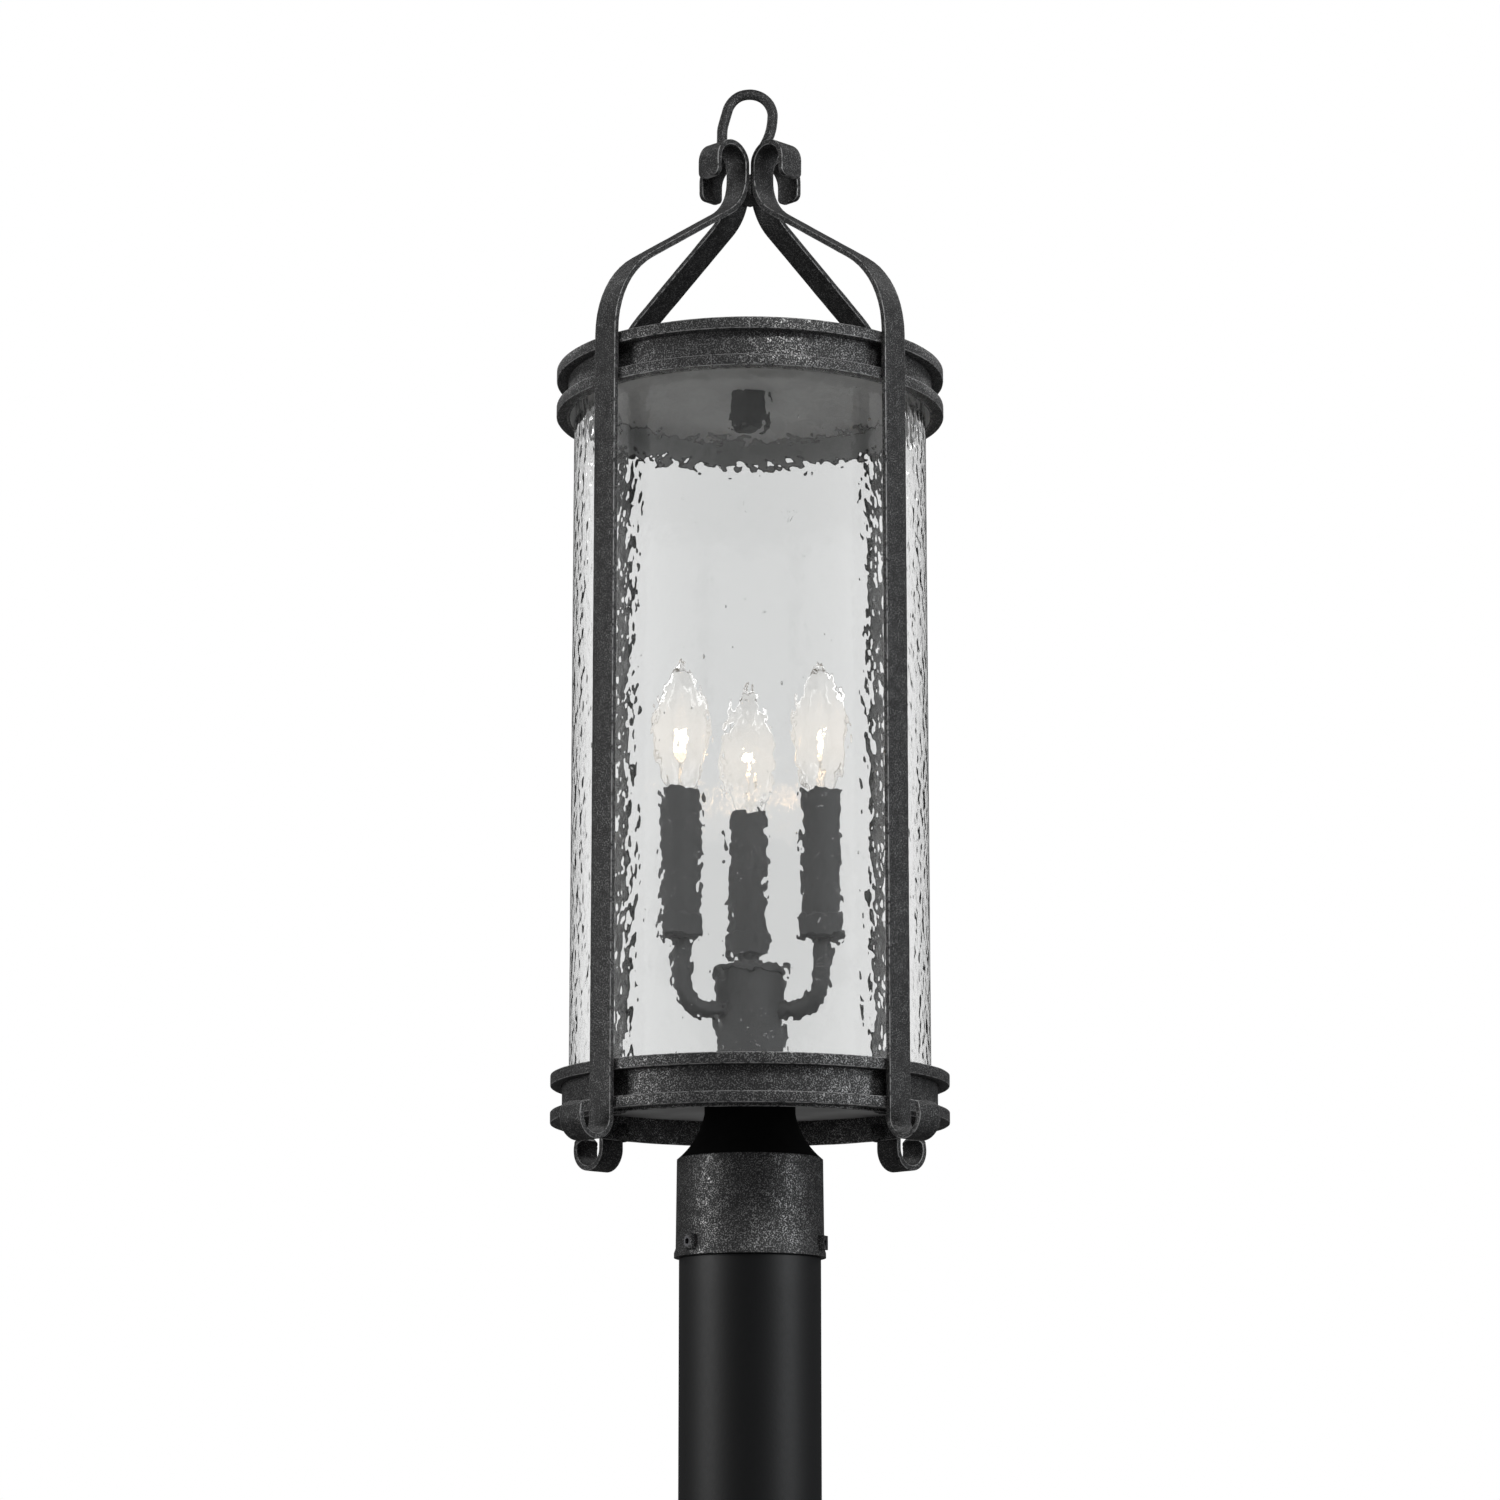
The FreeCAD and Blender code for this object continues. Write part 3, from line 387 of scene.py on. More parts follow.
def paint_iron(fleck_share, painted_shade_share):
    """Charcoal forged iron: soft mottling, fine bare flecks that catch the light, lighter worn edges; a shade
    share below 1 darkens it all as painted shade.
    """
    def paint(tree):
        metal = bpy.context.scene.lantern_metal
        mottle = tree.grain(0.010, 4.0).between(0.30, 0.70)
        cluster = tree.grain(0.0050, 3.0).between(0.30, 0.70) * 0.65 + 0.35
        grit = tree.grain(0.00068, 1.0)
        speck = grit.between(0.50, 0.66) * cluster * fleck_share
        worn = tree.node("ShaderNodeAttribute", {"attribute_name": "worn"}, {}, "Fac")
        rubbed = worn * tree.grain(0.003, 3.0).between(0.34, 0.56)
        # A painted shade share below 1 makes a darker, painted shade copy of the same forged iron.
        dark, light = opaque(metal.iron_dark, painted_shade_share), opaque(metal.iron_light, painted_shade_share)
        body = tree.blend(mottle, dark, light)
        flecked = tree.blend(speck * 0.75, body, opaque(metal.speckle))
        edged = tree.blend(rubbed * 0.8, flecked, opaque(metal.speckle))
        height = tree.grain(0.0020, 3.0) * 0.5 + grit * 0.35
        return tree.node("ShaderNodeBsdfPrincipled", {}, {
            "Base Color": edged,
            "Metallic": speck * 0.9 + rubbed * 0.3,
            "Roughness": 0.58 - speck * 0.25 - rubbed * 0.12,
            "Specular IOR Level": 0.35,
            "Normal": tree.relief(height, 0.0003),
        })
    return paint


def paint_neck_shade(tree):
    """Painted shade: the collar casting's neck painted near-black, for the shade in the lee of the plate
    above it.
    """
    return tree.node("ShaderNodeBsdfPrincipled", {}, {
        "Base Color": tree.blend(tree.grain(0.006), (0.002, 0.002, 0.002, 1.0), (0.006, 0.006, 0.006, 1.0)),
        "Roughness": 0.85,
        "Specular IOR Level": 0.1,
        "Normal": tree.relief(tree.grain(0.002), 0.00005),
    })


def paint_post(tree):
    """Smooth satin black with the faintest orange peel."""
    metal = bpy.context.scene.lantern_metal
    cloud = tree.grain(0.05, 3.0, (1.0, 1.0, 4.0)).between(0.3, 0.7)
    shade = tree.blend(cloud, opaque(metal.post_paint), opaque(metal.post_paint, 1.5))
    return tree.node("ShaderNodeBsdfPrincipled", {}, {
        "Base Color": shade,
        "Roughness": 0.50 + tree.grain(0.003) * 0.06,
        "Specular IOR Level": 0.5,
        "Normal": tree.relief(tree.grain(0.0016), 0.00003),
    })


def paint_plain(shade, roughness, fleck, patch, depth):
    """A quiet finish: one colour with slow shading, sparse light flecks and a fine texture."""
    def paint(tree):
        slow = tree.grain(patch * 12, 3.0).between(0.3, 0.7)
        fine = tree.grain(patch, 3.0)
        flecks = fine.between(0.66, 0.74) * fleck
        base = tree.blend(slow, opaque(shade, 0.88), opaque(shade, 1.12))
        return tree.node("ShaderNodeBsdfPrincipled", {}, {
            "Base Color": tree.blend(flecks, base, opaque((0.45, 0.45, 0.45))),
            "Roughness": roughness + slow * 0.08 - flecks * 0.1,
            "Normal": tree.relief(fine, depth),
        })
    return paint


def paint_metal(shade, roughness, brush):
    """Bare or plated metal with faint brushing round the axis and a little tarnish."""
    def paint(tree):
        lines = tree.grain(0.004, 3.0, (1.0, 1.0, brush))
        tarnish = tree.grain(0.005, 4.0).between(0.4, 0.7)
        return tree.node("ShaderNodeBsdfPrincipled", {}, {
            "Base Color": tree.blend(tarnish, opaque(shade), opaque(shade, 0.62)),
            "Metallic": 1.0,
            "Roughness": roughness + tarnish * 0.15,
            "Normal": tree.relief(lines, 0.00004),
        })
    return paint


def clear_to_lamps(tree, solid, tint_and_painted_shade):
    """Glass that lets the light of lamps through, so that what is behind it is lit."""
    lamp_ray = tree.node("ShaderNodeLightPath", {}, {}, "Is Shadow Ray")
    through = tree.node("ShaderNodeBsdfTransparent", {}, {"Color": tint_and_painted_shade})
    return tree.node("ShaderNodeMixShader", {}, {0: lamp_ray, 1: solid, 2: through})


def paint_glass(tree):
    """Clear hand-made glass whose two faces ripple, with painted shade: a grey tint, strongest where the
    glass is seen face on, darkens what shows through it.
    """
    glass = bpy.context.scene.lantern_glass
    relief = tree.relief(tree.grain(0.0052, 0.7, (1.0, 1.0, 1.25)), glass.ripple_height)
    panes = []
    for shade in (opaque(glass.tint_and_painted_shade), CLEAR):
        panes.append(tree.node("ShaderNodeBsdfGlass", {}, {
            "Color": shade,
            "Roughness": 0.0,
            "IOR": 1.5,
            "Normal": relief,
        }))
    # Painted shade that depends on the view: the tinted pane where the glass is seen face on, the clear pane
    # towards its edges.
    slant = tree.node("ShaderNodeLayerWeight", {}, {"Blend": 0.5}, "Facing").between(0.0, 0.5)
    solid = tree.node("ShaderNodeMixShader", {}, {0: slant, 1: panes[0], 2: panes[1]})
    return clear_to_lamps(tree, solid, opaque(glass.tint_and_painted_shade))


def paint_lamp_glass(tree):
    """Thin clear glass with the slightest waviness, with a faint painted glow on the glass, strongest round
    the lit coil.
    """
    glass = bpy.context.scene.lantern_glass
    solid = tree.node("ShaderNodeBsdfGlass", {}, {
        "Color": CLEAR,
        "Roughness": 0.0,
        "IOR": 1.5,
        "Normal": tree.relief(tree.grain(0.009, 1.0), 0.0001),
    })
    height = tree.node("ShaderNodeSeparateXYZ", {}, {0: tree.place()}, "Z")
    # Painted glow: the glass emits faintly everywhere, and more in a band round the coil.
    painted_glow_mask = height.between(0.440, 0.466) * (1.0 - height.between(0.470, 0.505))
    painted_glow_shader = tree.node("ShaderNodeEmission", {}, {"Color": opaque(glass.painted_glow_colour), "Strength": 1.4})
    lit = tree.node("ShaderNodeMixShader", {}, {0: 0.02 + painted_glow_mask * 0.07, 1: solid, 2: painted_glow_shader})
    return clear_to_lamps(tree, lit, CLEAR)


def paint_glow(tree):
    """A lit filament, a little hotter in places."""
    glass = bpy.context.scene.lantern_glass
    hot = tree.grain(0.003).between(0.35, 0.65)
    return tree.node("ShaderNodeBsdfPrincipled", {}, {
        "Base Color": opaque(glass.glow),
        "Roughness": 0.6,
        "Emission Color": tree.blend(hot, opaque(glass.glow), opaque(glass.glow, 1.25)),
        "Emission Strength": glass.glow_strength,
    })


def paint_floor(tree):
    """Plain pale floor with a trace of unevenness."""
    stage = bpy.context.scene.lantern_stage
    cloud = tree.grain(0.4, 3.0)
    return tree.node("ShaderNodeBsdfPrincipled", {}, {
        "Base Color": tree.blend(cloud, opaque(stage.floor_colour, 0.985), opaque(stage.floor_colour)),
        "Roughness": 0.75,
        "Normal": tree.relief(tree.grain(0.004), 0.00005),
    })


def slot_finish(slot):
    """The material for one of the record's material slots."""
    metal = bpy.context.scene.lantern_metal
    paints = {
        "post_paint": paint_post,
        "forged_iron": paint_iron(1.0, 1.0),
        # The straps and loop get the same forged iron painted darker, as painted shade, and with fewer
        # flecks.
        "strap_iron_shaded": paint_iron(0.5, 0.8),
        "inner_paint": paint_plain(metal.inner_paint, 0.62, 0.5, 0.0016, 0.00006),
        "cluster_paint": paint_plain(metal.cluster_paint, 0.6, 0.6, 0.0014, 0.00008),
        "seeded_glass": paint_glass,
        "gasket_rubber": paint_plain((0.17, 0.17, 0.17), 0.7, 0.0, 0.0012, 0.0001),
        "lead_insulation": paint_plain((0.62, 0.60, 0.54), 0.5, 0.0, 0.001, 0.00004),
        "boss_paint": paint_plain((0.006, 0.006, 0.006), 0.8, 0.0, 0.0014, 0.00005),
        "brass": paint_metal((0.72, 0.53, 0.24), 0.3, 6.0),
        "socket_phenolic": paint_plain((0.022, 0.020, 0.019), 0.45, 0.2, 0.001, 0.00004),
        "bulb_glass": paint_lamp_glass,
        "bulb_base_metal": paint_metal((0.74, 0.73, 0.70), 0.28, 6.0),
        "filament": paint_glow,
        "screw_steel": paint_metal((0.20, 0.20, 0.21), 0.42, 4.0),
    }
    return finish(slot + "_finish", paints[slot])


def rounded(corners, radius, steps=4):
    """A closed outline with each corner turned by a small arc, as (across, up, worn) points."""
    outline = []
    for k, corner in enumerate(corners):
        here = Vector(corner)
        into = (Vector(corners[k - 1]) - here).normalized()
        away = (Vector(corners[(k + 1) % len(corners)]) - here).normalized()
        half = into.angle(away) / 2
        centre = here + (into + away).normalized() * (radius / math.sin(half))
        start = here + into * (radius / math.tan(half)) - centre
        end = here + away * (radius / math.tan(half)) - centre
        for step in range(steps + 1):
            share = step / steps
            point = centre + start.slerp(end, share) * radius
            outline.append((point.x, point.y, math.sin(share * math.pi)))
    return outline


def round_outline(radius, sides):
    """A circle about the middle line of a bar or wire, as (across, outward, worn) points."""
    outline = []
    for side in range(sides):
        around = math.tau * side / sides
        outline.append((math.cos(around) * radius, math.sin(around) * radius, 0.0))
    return outline


def divided(outline, longest):
    """The same outline with points added, so that none of its edges is longer than longest."""
    dense = []
    for k, point in enumerate(outline):
        following = outline[(k + 1) % len(outline)]
        gap = math.dist(point[:2], following[:2])
        parts = max(1, math.ceil(gap / longest))
        for part in range(parts):
            share = part / parts
            worn = point[2] if part == 0 else 0.0
            dense.append((point[0] + (following[0] - point[0]) * share,
                          point[1] + (following[1] - point[1]) * share, worn))
    return dense


class Shell:
    """Vertices, faces and wear of one piece while it is being shaped."""

    def __init__(self):
        self.points = []
        self.worn = []
        self.faces = []
        self.finishes = []

    def loops(self, rings, closed, finish_index=0):
        """Joins rings of (point, worn) into a skin; an open row of rings gets flat ends."""
        count = len(rings[0])
        first = len(self.points)
        for ring in rings:
            for point, worn in ring:
                self.points.append(point)
                self.worn.append(worn)
        spans = len(rings) if closed else len(rings) - 1
        for k in range(spans):
            here = first + k * count
            there = first + (k + 1) % len(rings) * count
            for n in range(count):
                m = (n + 1) % count
                self.add_face([here + n, here + m, there + m, there + n], finish_index)
        if not closed:
            last = first + (len(rings) - 1) * count
            self.add_face([first + n for n in reversed(range(count))], finish_index)
            self.add_face([last + n for n in range(count)], finish_index)

    def add_face(self, corners, finish_index):
        """Adds one face, given by the numbers of its points."""
        self.faces.append(corners)
        self.finishes.append(finish_index)

    def lathe(self, outline, steps, finish_index=0):
        """Turns a closed outline of (radius, height, worn) points about the Z axis."""
        rings = []
        for step in range(steps):
            turn = math.tau * step / steps
            cosine, sine = math.cos(turn), math.sin(turn)
            rings.append([(Vector((r * cosine, r * sine, z)), worn) for r, z, worn in outline])
        self.loops(rings, True, finish_index)

    def sweep(self, outline, stations, finish_index=0):
        """Carries an outline along stations of (point, across, outward, widen)."""
        rings = []
        for point, across, outward, widen in stations:
            rings.append([(point + across * (u * widen) + outward * v, worn) for u, v, worn in outline])
        self.loops(rings, False, finish_index)

    def mesh(self, name):
        """A mesh with outward faces, shaded smooth all over, and the wear as an attribute."""
        data = bpy.data.meshes.new(name)
        data.from_pydata(self.points, [], self.faces)
        data.polygons.foreach_set("material_index", self.finishes)
        wear = data.attributes.new("worn", "FLOAT", "POINT")
        wear.data.foreach_set("value", self.worn)
        work = bmesh.new()
        work.from_mesh(data)
        bmesh.ops.remove_doubles(work, verts=work.verts, dist=MESH_MERGE)
        bmesh.ops.recalc_face_normals(work, faces=work.faces)
        work.to_mesh(data)
        work.free()
        data.shade_smooth()
        return data


def dented(data, depth, size):
    """Pushes a mesh inward by a slow random amount, as hammering leaves it."""
    data.update()
    normals = [vertex.normal.copy() for vertex in data.vertices]
    for vertex, normal in zip(data.vertices, normals):
        swing = 0.5 + 0.5 * noise.noise(vertex.co / size)
        vertex.co -= normal * (depth * min(1.0, max(0.0, swing)))
    return data


def add_piece(name, data, slots, nodes, finishes=None):
    """Puts a mesh in the scene as a piece that stands for some CAD nodes and moves with their body.

    It shows the finishes of its slots, unless other finishes are given.
    """
    piece = bpy.data.objects.new(name, data)
    bpy.context.scene.collection.objects.link(piece)
    for slot in finishes or slots:
        data.materials.append(slot_finish(slot))
    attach(piece, BODY_OF[nodes[0]])
    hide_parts(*nodes)
    return piece


def sharpen_shading(piece):
    """Keeps sharp edges crisp, and shades the rest smooth."""
    work = bmesh.new()
    work.from_mesh(piece.data)
    for edge in work.edges:
        edge.smooth = len(edge.link_faces) == 2 and edge.calc_face_angle() < SHARP_ANGLE
    work.to_mesh(piece.data)
    work.free()


def softened(node, edge):
    """A copy of a CAD node's mesh whose sharp edges are rounded off."""
    data = frame["nodes"][node].data.copy()
    data.materials.clear()
    work = bmesh.new()
    work.from_mesh(data)
    bmesh.ops.remove_doubles(work, verts=work.verts, dist=CAD_MERGE)
    bmesh.ops.dissolve_limit(work, angle_limit=FLAT_ANGLE, verts=work.verts, edges=work.edges)
    work.to_mesh(data)
    work.free()
    for polygon in data.polygons:
        polygon.material_index = 0
    piece = add_piece(node + "_soft", data, [SLOT_OF[node]], [node])
    bevel = piece.modifiers.new("softened edges", "BEVEL")
    bevel.width = edge
    bevel.segments = SOFT_EDGE_SEGMENTS
    bevel.limit_method = "ANGLE"
    bevel.angle_limit = SHARP_ANGLE
    data.shade_smooth()
    sharpen_shading(piece)
    return piece


def bent_line(start, heading, steps, spacing=0.004, arc_step=6.0):
    """Points and headings along a bar bent in one plane, from its first end.

    A step is (length, 0) for a straight run, or (radius, turn) for an arc; a positive turn is to the left.
    """
    here = Vector(start)
    stations = [(here.copy(), heading)]
    for reach, turn in steps:
        if turn == 0:
            parts = max(1, round(reach / spacing))
            direction = Vector((math.cos(heading), math.sin(heading)))
            for part in range(1, parts + 1):
                stations.append((here + direction * (reach * part / parts), heading))
            here = here + direction * reach
            continue
        parts = max(2, round(abs(math.degrees(turn)) / arc_step))
        side = math.copysign(1.0, turn)
        quarter = side * math.pi / 2
        centre = here + Vector((math.cos(heading + quarter), math.sin(heading + quarter))) * reach
        for part in range(1, parts + 1):
            ahead = heading + turn * part / parts
            arm = Vector((math.cos(ahead + quarter), math.sin(ahead + quarter)))
            stations.append((centre - arm * reach, ahead))
        heading += turn
        here = stations[-1][0].copy()
    return stations


def strap_line(straps, upright):
    """Curl, upright, shoulder, slope, throat, neck and scroll, as radius and height from tip to tip."""
    half = straps.thick / 2
    neck = straps.throat_inner + half
    turn = straps.shoulder_turn
    bends = straps.shoulder_radius + straps.throat_radius
    slope = (upright - neck - bends * (1 - math.cos(turn))) / math.sin(turn)
    curl_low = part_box("strap_front_left")[0].z
    centre = Vector((upright + straps.curl_radius, curl_low + half + straps.curl_radius))
    tip = straps.curl_tip_turn
    start = centre + Vector((math.cos(tip), math.sin(tip))) * straps.curl_radius
    neck_low = straps.shoulder_low + bends * math.sin(turn) + slope * math.cos(turn)
    return bent_line(start, tip - math.pi / 2, [
        (straps.curl_radius, -math.pi - tip),
        (straps.shoulder_low - centre.y, 0),
        (straps.shoulder_radius, turn),
        (slope, 0),
        (straps.throat_radius, -turn),
        (straps.scroll_centre - neck_low, 0),
        (straps.scroll_radius, -math.pi),
        (straps.scroll_centre - straps.scroll_tip, 0),
    ])


def tip_stations(line, straps):
    """The line with extra stations near both ends, each with how far the rounded tip narrows it."""
    ends = (line, line[::-1])
    extra = []
    for end in ends:
        start, heading = end[0]
        onward = (end[1][0] - start).normalized()
        rows = []
        for share in TIP_SHARES:
            back = straps.tip_round * (1 - share)
            inset = straps.tip_round - math.sqrt(straps.tip_round ** 2 - back ** 2)
            rows.append((start + onward * (straps.tip_round * share), heading, 1 - 2 * inset / straps.width))
        extra.append(rows)
    between = []
    for point, heading in line:
        near = min((point - end[0][0]).length for end in ends)
        if near > straps.tip_round:
            between.append((point, heading, 1.0))
    return extra[0] + between + extra[1][::-1]


def build_strap(name, degrees, straps, metal):
    """One strap, swept in its own upright plane through the lantern's axis."""
    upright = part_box("bottom_lower_hoop")[1].x + straps.thick / 2
    turn = math.radians(degrees)
    radial = Vector((math.cos(turn), math.sin(turn), 0.0))
    across = UP.cross(radial)
    half_width, half_thick = straps.width / 2, straps.thick / 2
    corners = [(-half_width, -half_thick), (half_width, -half_thick),
               (half_width, half_thick), (-half_width, half_thick)]
    outline = divided(rounded(corners, metal.edge_round), STRAP_CUT)
    stations = []
    for point, heading, widen in tip_stations(strap_line(straps, upright), straps):
        place = radial * point.x + UP * point.y
        outward = radial * -math.sin(heading) + UP * math.cos(heading)
        stations.append((place, across, outward, widen))
    shell = Shell()
    shell.sweep(outline, stations)
    data = dented(shell.mesh(name), metal.forge_dent, STRAP_DENT_SIZE)
    add_piece(name + "_bar", data, ["forged_iron"], [name], ["strap_iron_shaded"])


def build_ring(node, wall, metal):
    """A hoop of square bar or a band of sheet, with softened edges and a forged surface."""
    low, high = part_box(node)
    corners = [(high.x - wall, low.z), (high.x, low.z), (high.x, high.z), (high.x - wall, high.z)]
    shell = Shell()
    shell.lathe(divided(rounded(corners, min(metal.edge_round, wall / 3)), RING_CUT), RING_STEPS)
    data = dented(shell.mesh(node), metal.forge_dent, RING_DENT_SIZE)
    add_piece(node + "_ring", data, ["forged_iron", "inner_paint"], [node])
    # Painted light: on the rings listed there, the faces that look at the axis take the plates' grey instead
    # of the dark iron.
    if node not in PAINTED_LIGHT_INSIDE:
        return
    for polygon in data.polygons:
        radial = Vector((polygon.center.x, polygon.center.y, 0.0)).normalized()
        if polygon.normal.dot(radial) < INWARD_SHARE:
            polygon.material_index = 1


def build_loop(straps, metal):
    """The round bar loop on top of the straps."""
    turn, lean = straps.loop_turn, straps.loop_lean
    foot_x = LOOP_CENTRE_X + straps.loop_radius - 2 * straps.loop_bend * (1 - math.cos(turn))
    bends_low = LOOP_CENTRE_HEIGHT - 2 * straps.loop_bend * math.sin(turn)
    line = bent_line((foot_x, LOOP_FOOT), math.pi / 2, [
        (bends_low - LOOP_FOOT, 0),
        (straps.loop_bend, -turn),
        (straps.loop_bend, turn),
        (straps.loop_radius, math.pi - lean),
        (LOOP_LEAN_LENGTH, 0),
        (LOOP_TAIL_RADIUS, lean),
        (LOOP_TAIL_LENGTH, 0),
    ], LOOP_SPACING)
    across = Vector((0.0, 1.0, 0.0))
    stations = []
    for point, heading in line:
        outward = Vector((-math.sin(heading), 0.0, math.cos(heading)))
        stations.append((Vector((point.x, 0.0, point.y)), across, outward, 1.0))
    shell = Shell()
    shell.sweep(round_outline(straps.loop_bar, LOOP_SIDES), stations)
    data = dented(shell.mesh("top_loop"), metal.forge_dent * LOOP_DENT_DEPTH_SHARE, LOOP_DENT_SIZE)
    add_piece("top_loop_bar", data, ["forged_iron"], ["top_loop"], ["strap_iron_shaded"])


def build_post(metal):
    """The post, a tube whose upper end is turned down inside the collar."""
    low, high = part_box("post_tube")
    corners = [(BORE_RADIUS, low.z), (high.x, low.z), (high.x, SPIGOT_LOW), (SPIGOT_RADIUS, SPIGOT_LOW),
               (SPIGOT_RADIUS, high.z), (BORE_RADIUS, high.z)]
    shell = Shell()
    shell.lathe(divided(rounded(corners, POST_EDGE_ROUND), POST_CUT), POST_STEPS)
    add_piece("post_tube_painted", shell.mesh("post_tube"), ["post_paint"], ["post_tube"])


def glass_shell(glass):
    """Two waved faces joined at both ends; the outer one's waves only sink in, to stay in the CAD box."""
    low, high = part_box("glass_cylinder")
    shell = Shell()
    faces = (
        (high.x, 0.0, 1.0, range(GLASS_ROWS + 1)),
        (high.x - glass.wall, INNER_WAVE_SHIFT, 0.0, range(GLASS_ROWS, -1, -1)),
    )
    rings = []
    for column in range(GLASS_COLUMNS):
        turn = math.tau * column / GLASS_COLUMNS
        radial = Vector((math.cos(turn), math.sin(turn), 0.0))
        ring = []
        for radius, shift, sink, order in faces:
            for row in order:
                height = low.z + (high.z - low.z) * row / GLASS_ROWS
                place = radial * radius + UP * height
                wave = noise.noise((place + Vector((shift, shift, shift))) / WAVE_LENGTH) - sink
                ring.append((place + radial * (glass.wave_height * wave), 0.0))
        rings.append(ring)
    shell.loops(rings, True)
    return shell


def add_seeds(data, glass):
    """Small closed bubbles inside the wall, drawn out upward, whose faces look into the bubble."""
    low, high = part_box("glass_cylinder")
    chance = random.Random(SEED_RANDOM)
    ball = bmesh.new()
    bmesh.ops.create_icosphere(ball, subdivisions=2, radius=1.0)
    ball_points = [vertex.co.copy() for vertex in ball.verts]
    ball_faces = [[vertex.index for vertex in reversed(face.verts)] for face in ball.faces]
    ball.free()
    work = bmesh.new()
    work.from_mesh(data)
    for _ in range(glass.seed_count):
        turn = chance.uniform(0.0, math.tau)
        height = chance.uniform(low.z + SEED_MARGIN, high.z - SEED_MARGIN)
        radius = high.x - glass.wall * chance.uniform(*SEED_DEPTHS)
        size = SEED_SIZE + SEED_SIZE_SPREAD * chance.random() ** SEED_SIZE_POWER
        stretch = chance.uniform(*SEED_STRETCHES)
        middle = Vector((math.cos(turn) * radius, math.sin(turn) * radius, height))
        made = [work.verts.new(middle + Vector((point.x, point.y, point.z * stretch)) * size)
                for point in ball_points]
        for face in ball_faces:
            work.faces.new([made[index] for index in face])
    work.to_mesh(data)
    work.free()
    data.shade_smooth()
    return data


def lamp_outline(box_low, box_high):
    """The torpedo's outline from neck to tip, as (radius, height) of its outer face."""
    neck_low, tip = box_low.z, box_high.z
    widest = (box_high.x - box_low.x) / 2
    neck_high, middle = neck_low + LAMP_NECK_LENGTH, neck_low + LAMP_WIDEST_RISE
    points = [(radius, neck_low + rise) for radius, rise in LAMP_NECK]
    for step in range(LAMP_SWELL_STEPS):
        share = step / LAMP_SWELL_STEPS
        swell = math.sin(share * math.pi / 2) ** LAMP_SWELL_POWER
        radius = LAMP_FLARE_RADIUS + (widest - LAMP_FLARE_RADIUS) * swell
        points.append((radius, neck_high + (middle - neck_high) * share))
    for step in range(LAMP_TAPER_STEPS):
        share = step / LAMP_TAPER_STEPS
        points.append((widest * (1 - share ** LAMP_TAPER_POWER), middle + (tip - middle) * share))
    points.append((0.0, tip))
    return points


def carried_to_axis(data, low, high):
    """Moves a mesh made about the Z axis to the middle of a box, as seen from above."""
    centre = (low + high) / 2
    for vertex in data.vertices:
        vertex.co += Vector((centre.x, centre.y, 0.0))
    return data


def build_lamp_glass(number, glass):
    """One lamp's thin envelope, whose wall is thicker upward near the tip."""
    node = "bulb_glass_%d" % number
    low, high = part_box(node)
    outer = lamp_outline(low, high)
    inner = []
    for radius, height in outer:
        drop = glass.lamp_wall * 2 if radius < LAMP_TIP_RADIUS else 0.0
        inner.append((max(0.0, radius - glass.lamp_wall), height - drop))
    shell = Shell()
    shell.lathe([(radius, height, 0.0) for radius, height in outer + inner[::-1]], LAMP_STEPS)
    add_piece(node + "_envelope", carried_to_axis(shell.mesh(node), low, high), ["bulb_glass"], [node])


def build_filament(number):
    """Glass stem, two support wires and the lit coil of one lamp."""
    node = "bulb_filament_%d" % number
    low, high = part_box(node)
    shell = Shell()
    shell.lathe([(radius, low.z + rise, 0.0) for radius, rise in STEM], STEM_STEPS, 2)
    add_tube(shell, coil_line(), COIL_WIRE, 0)
    foot_out, foot_rise = SUPPORT_FOOT
    knee_out, knee_drop = SUPPORT_KNEE
    for side, end_height in ((1, COIL_LOW), (-1, COIL_HIGH)):
        wire = [
            Vector((side * foot_out, 0.0, low.z + foot_rise)),
            Vector((side * knee_out, 0.0, COIL_LOW - knee_drop)),
            Vector((side * COIL_RADIUS, 0.0, end_height)),
        ]
        add_tube(shell, wire, SUPPORT_WIRE, 1)
    data = carried_to_axis(shell.mesh(node), low, high)
    add_piece(node + "_lit", data, ["filament", "bulb_base_metal", "bulb_glass"], [node])


def coil_line():
    """The coil's middle line, from its lower end to its upper one."""
    steps = COIL_TURNS * COIL_TURN_STEPS
    line = []
    for step in range(steps + 1):
        around = math.tau * step / COIL_TURN_STEPS
        height = COIL_LOW + (COIL_HIGH - COIL_LOW) * (step / steps)
        line.append(Vector((math.cos(around) * COIL_RADIUS, math.sin(around) * COIL_RADIUS, height)))
    return line


def add_tube(shell, points, radius, finish_index):
    """A round wire through points."""
    stations = []
    for k, point in enumerate(points):
        ahead = points[min(k + 1, len(points) - 1)] - points[max(k - 1, 0)]
        reference = UP if abs(ahead.normalized().z) < 0.9 else Vector((1.0, 0.0, 0.0))
        across = ahead.cross(reference).normalized()
        stations.append((point, across, ahead.cross(across).normalized(), 1.0))
    shell.sweep(round_outline(radius, WIRE_SIDES), stations, finish_index)


def soft_light(name, size, place, power, shade):
    """A rectangular lamp of size (width, height) that faces the middle of the lantern."""
    data = bpy.data.lights.new(name, "AREA")
    data.shape = "RECTANGLE"
    data.size, data.size_y = size
    data.energy = power
    data.color = shade
    light = bpy.data.objects.new(name, data)
    light.location = place
    light.rotation_euler = (Vector(LIGHTS_AIM) - Vector(place)).to_track_quat("-Z", "Y").to_euler()
    bpy.context.scene.collection.objects.link(light)


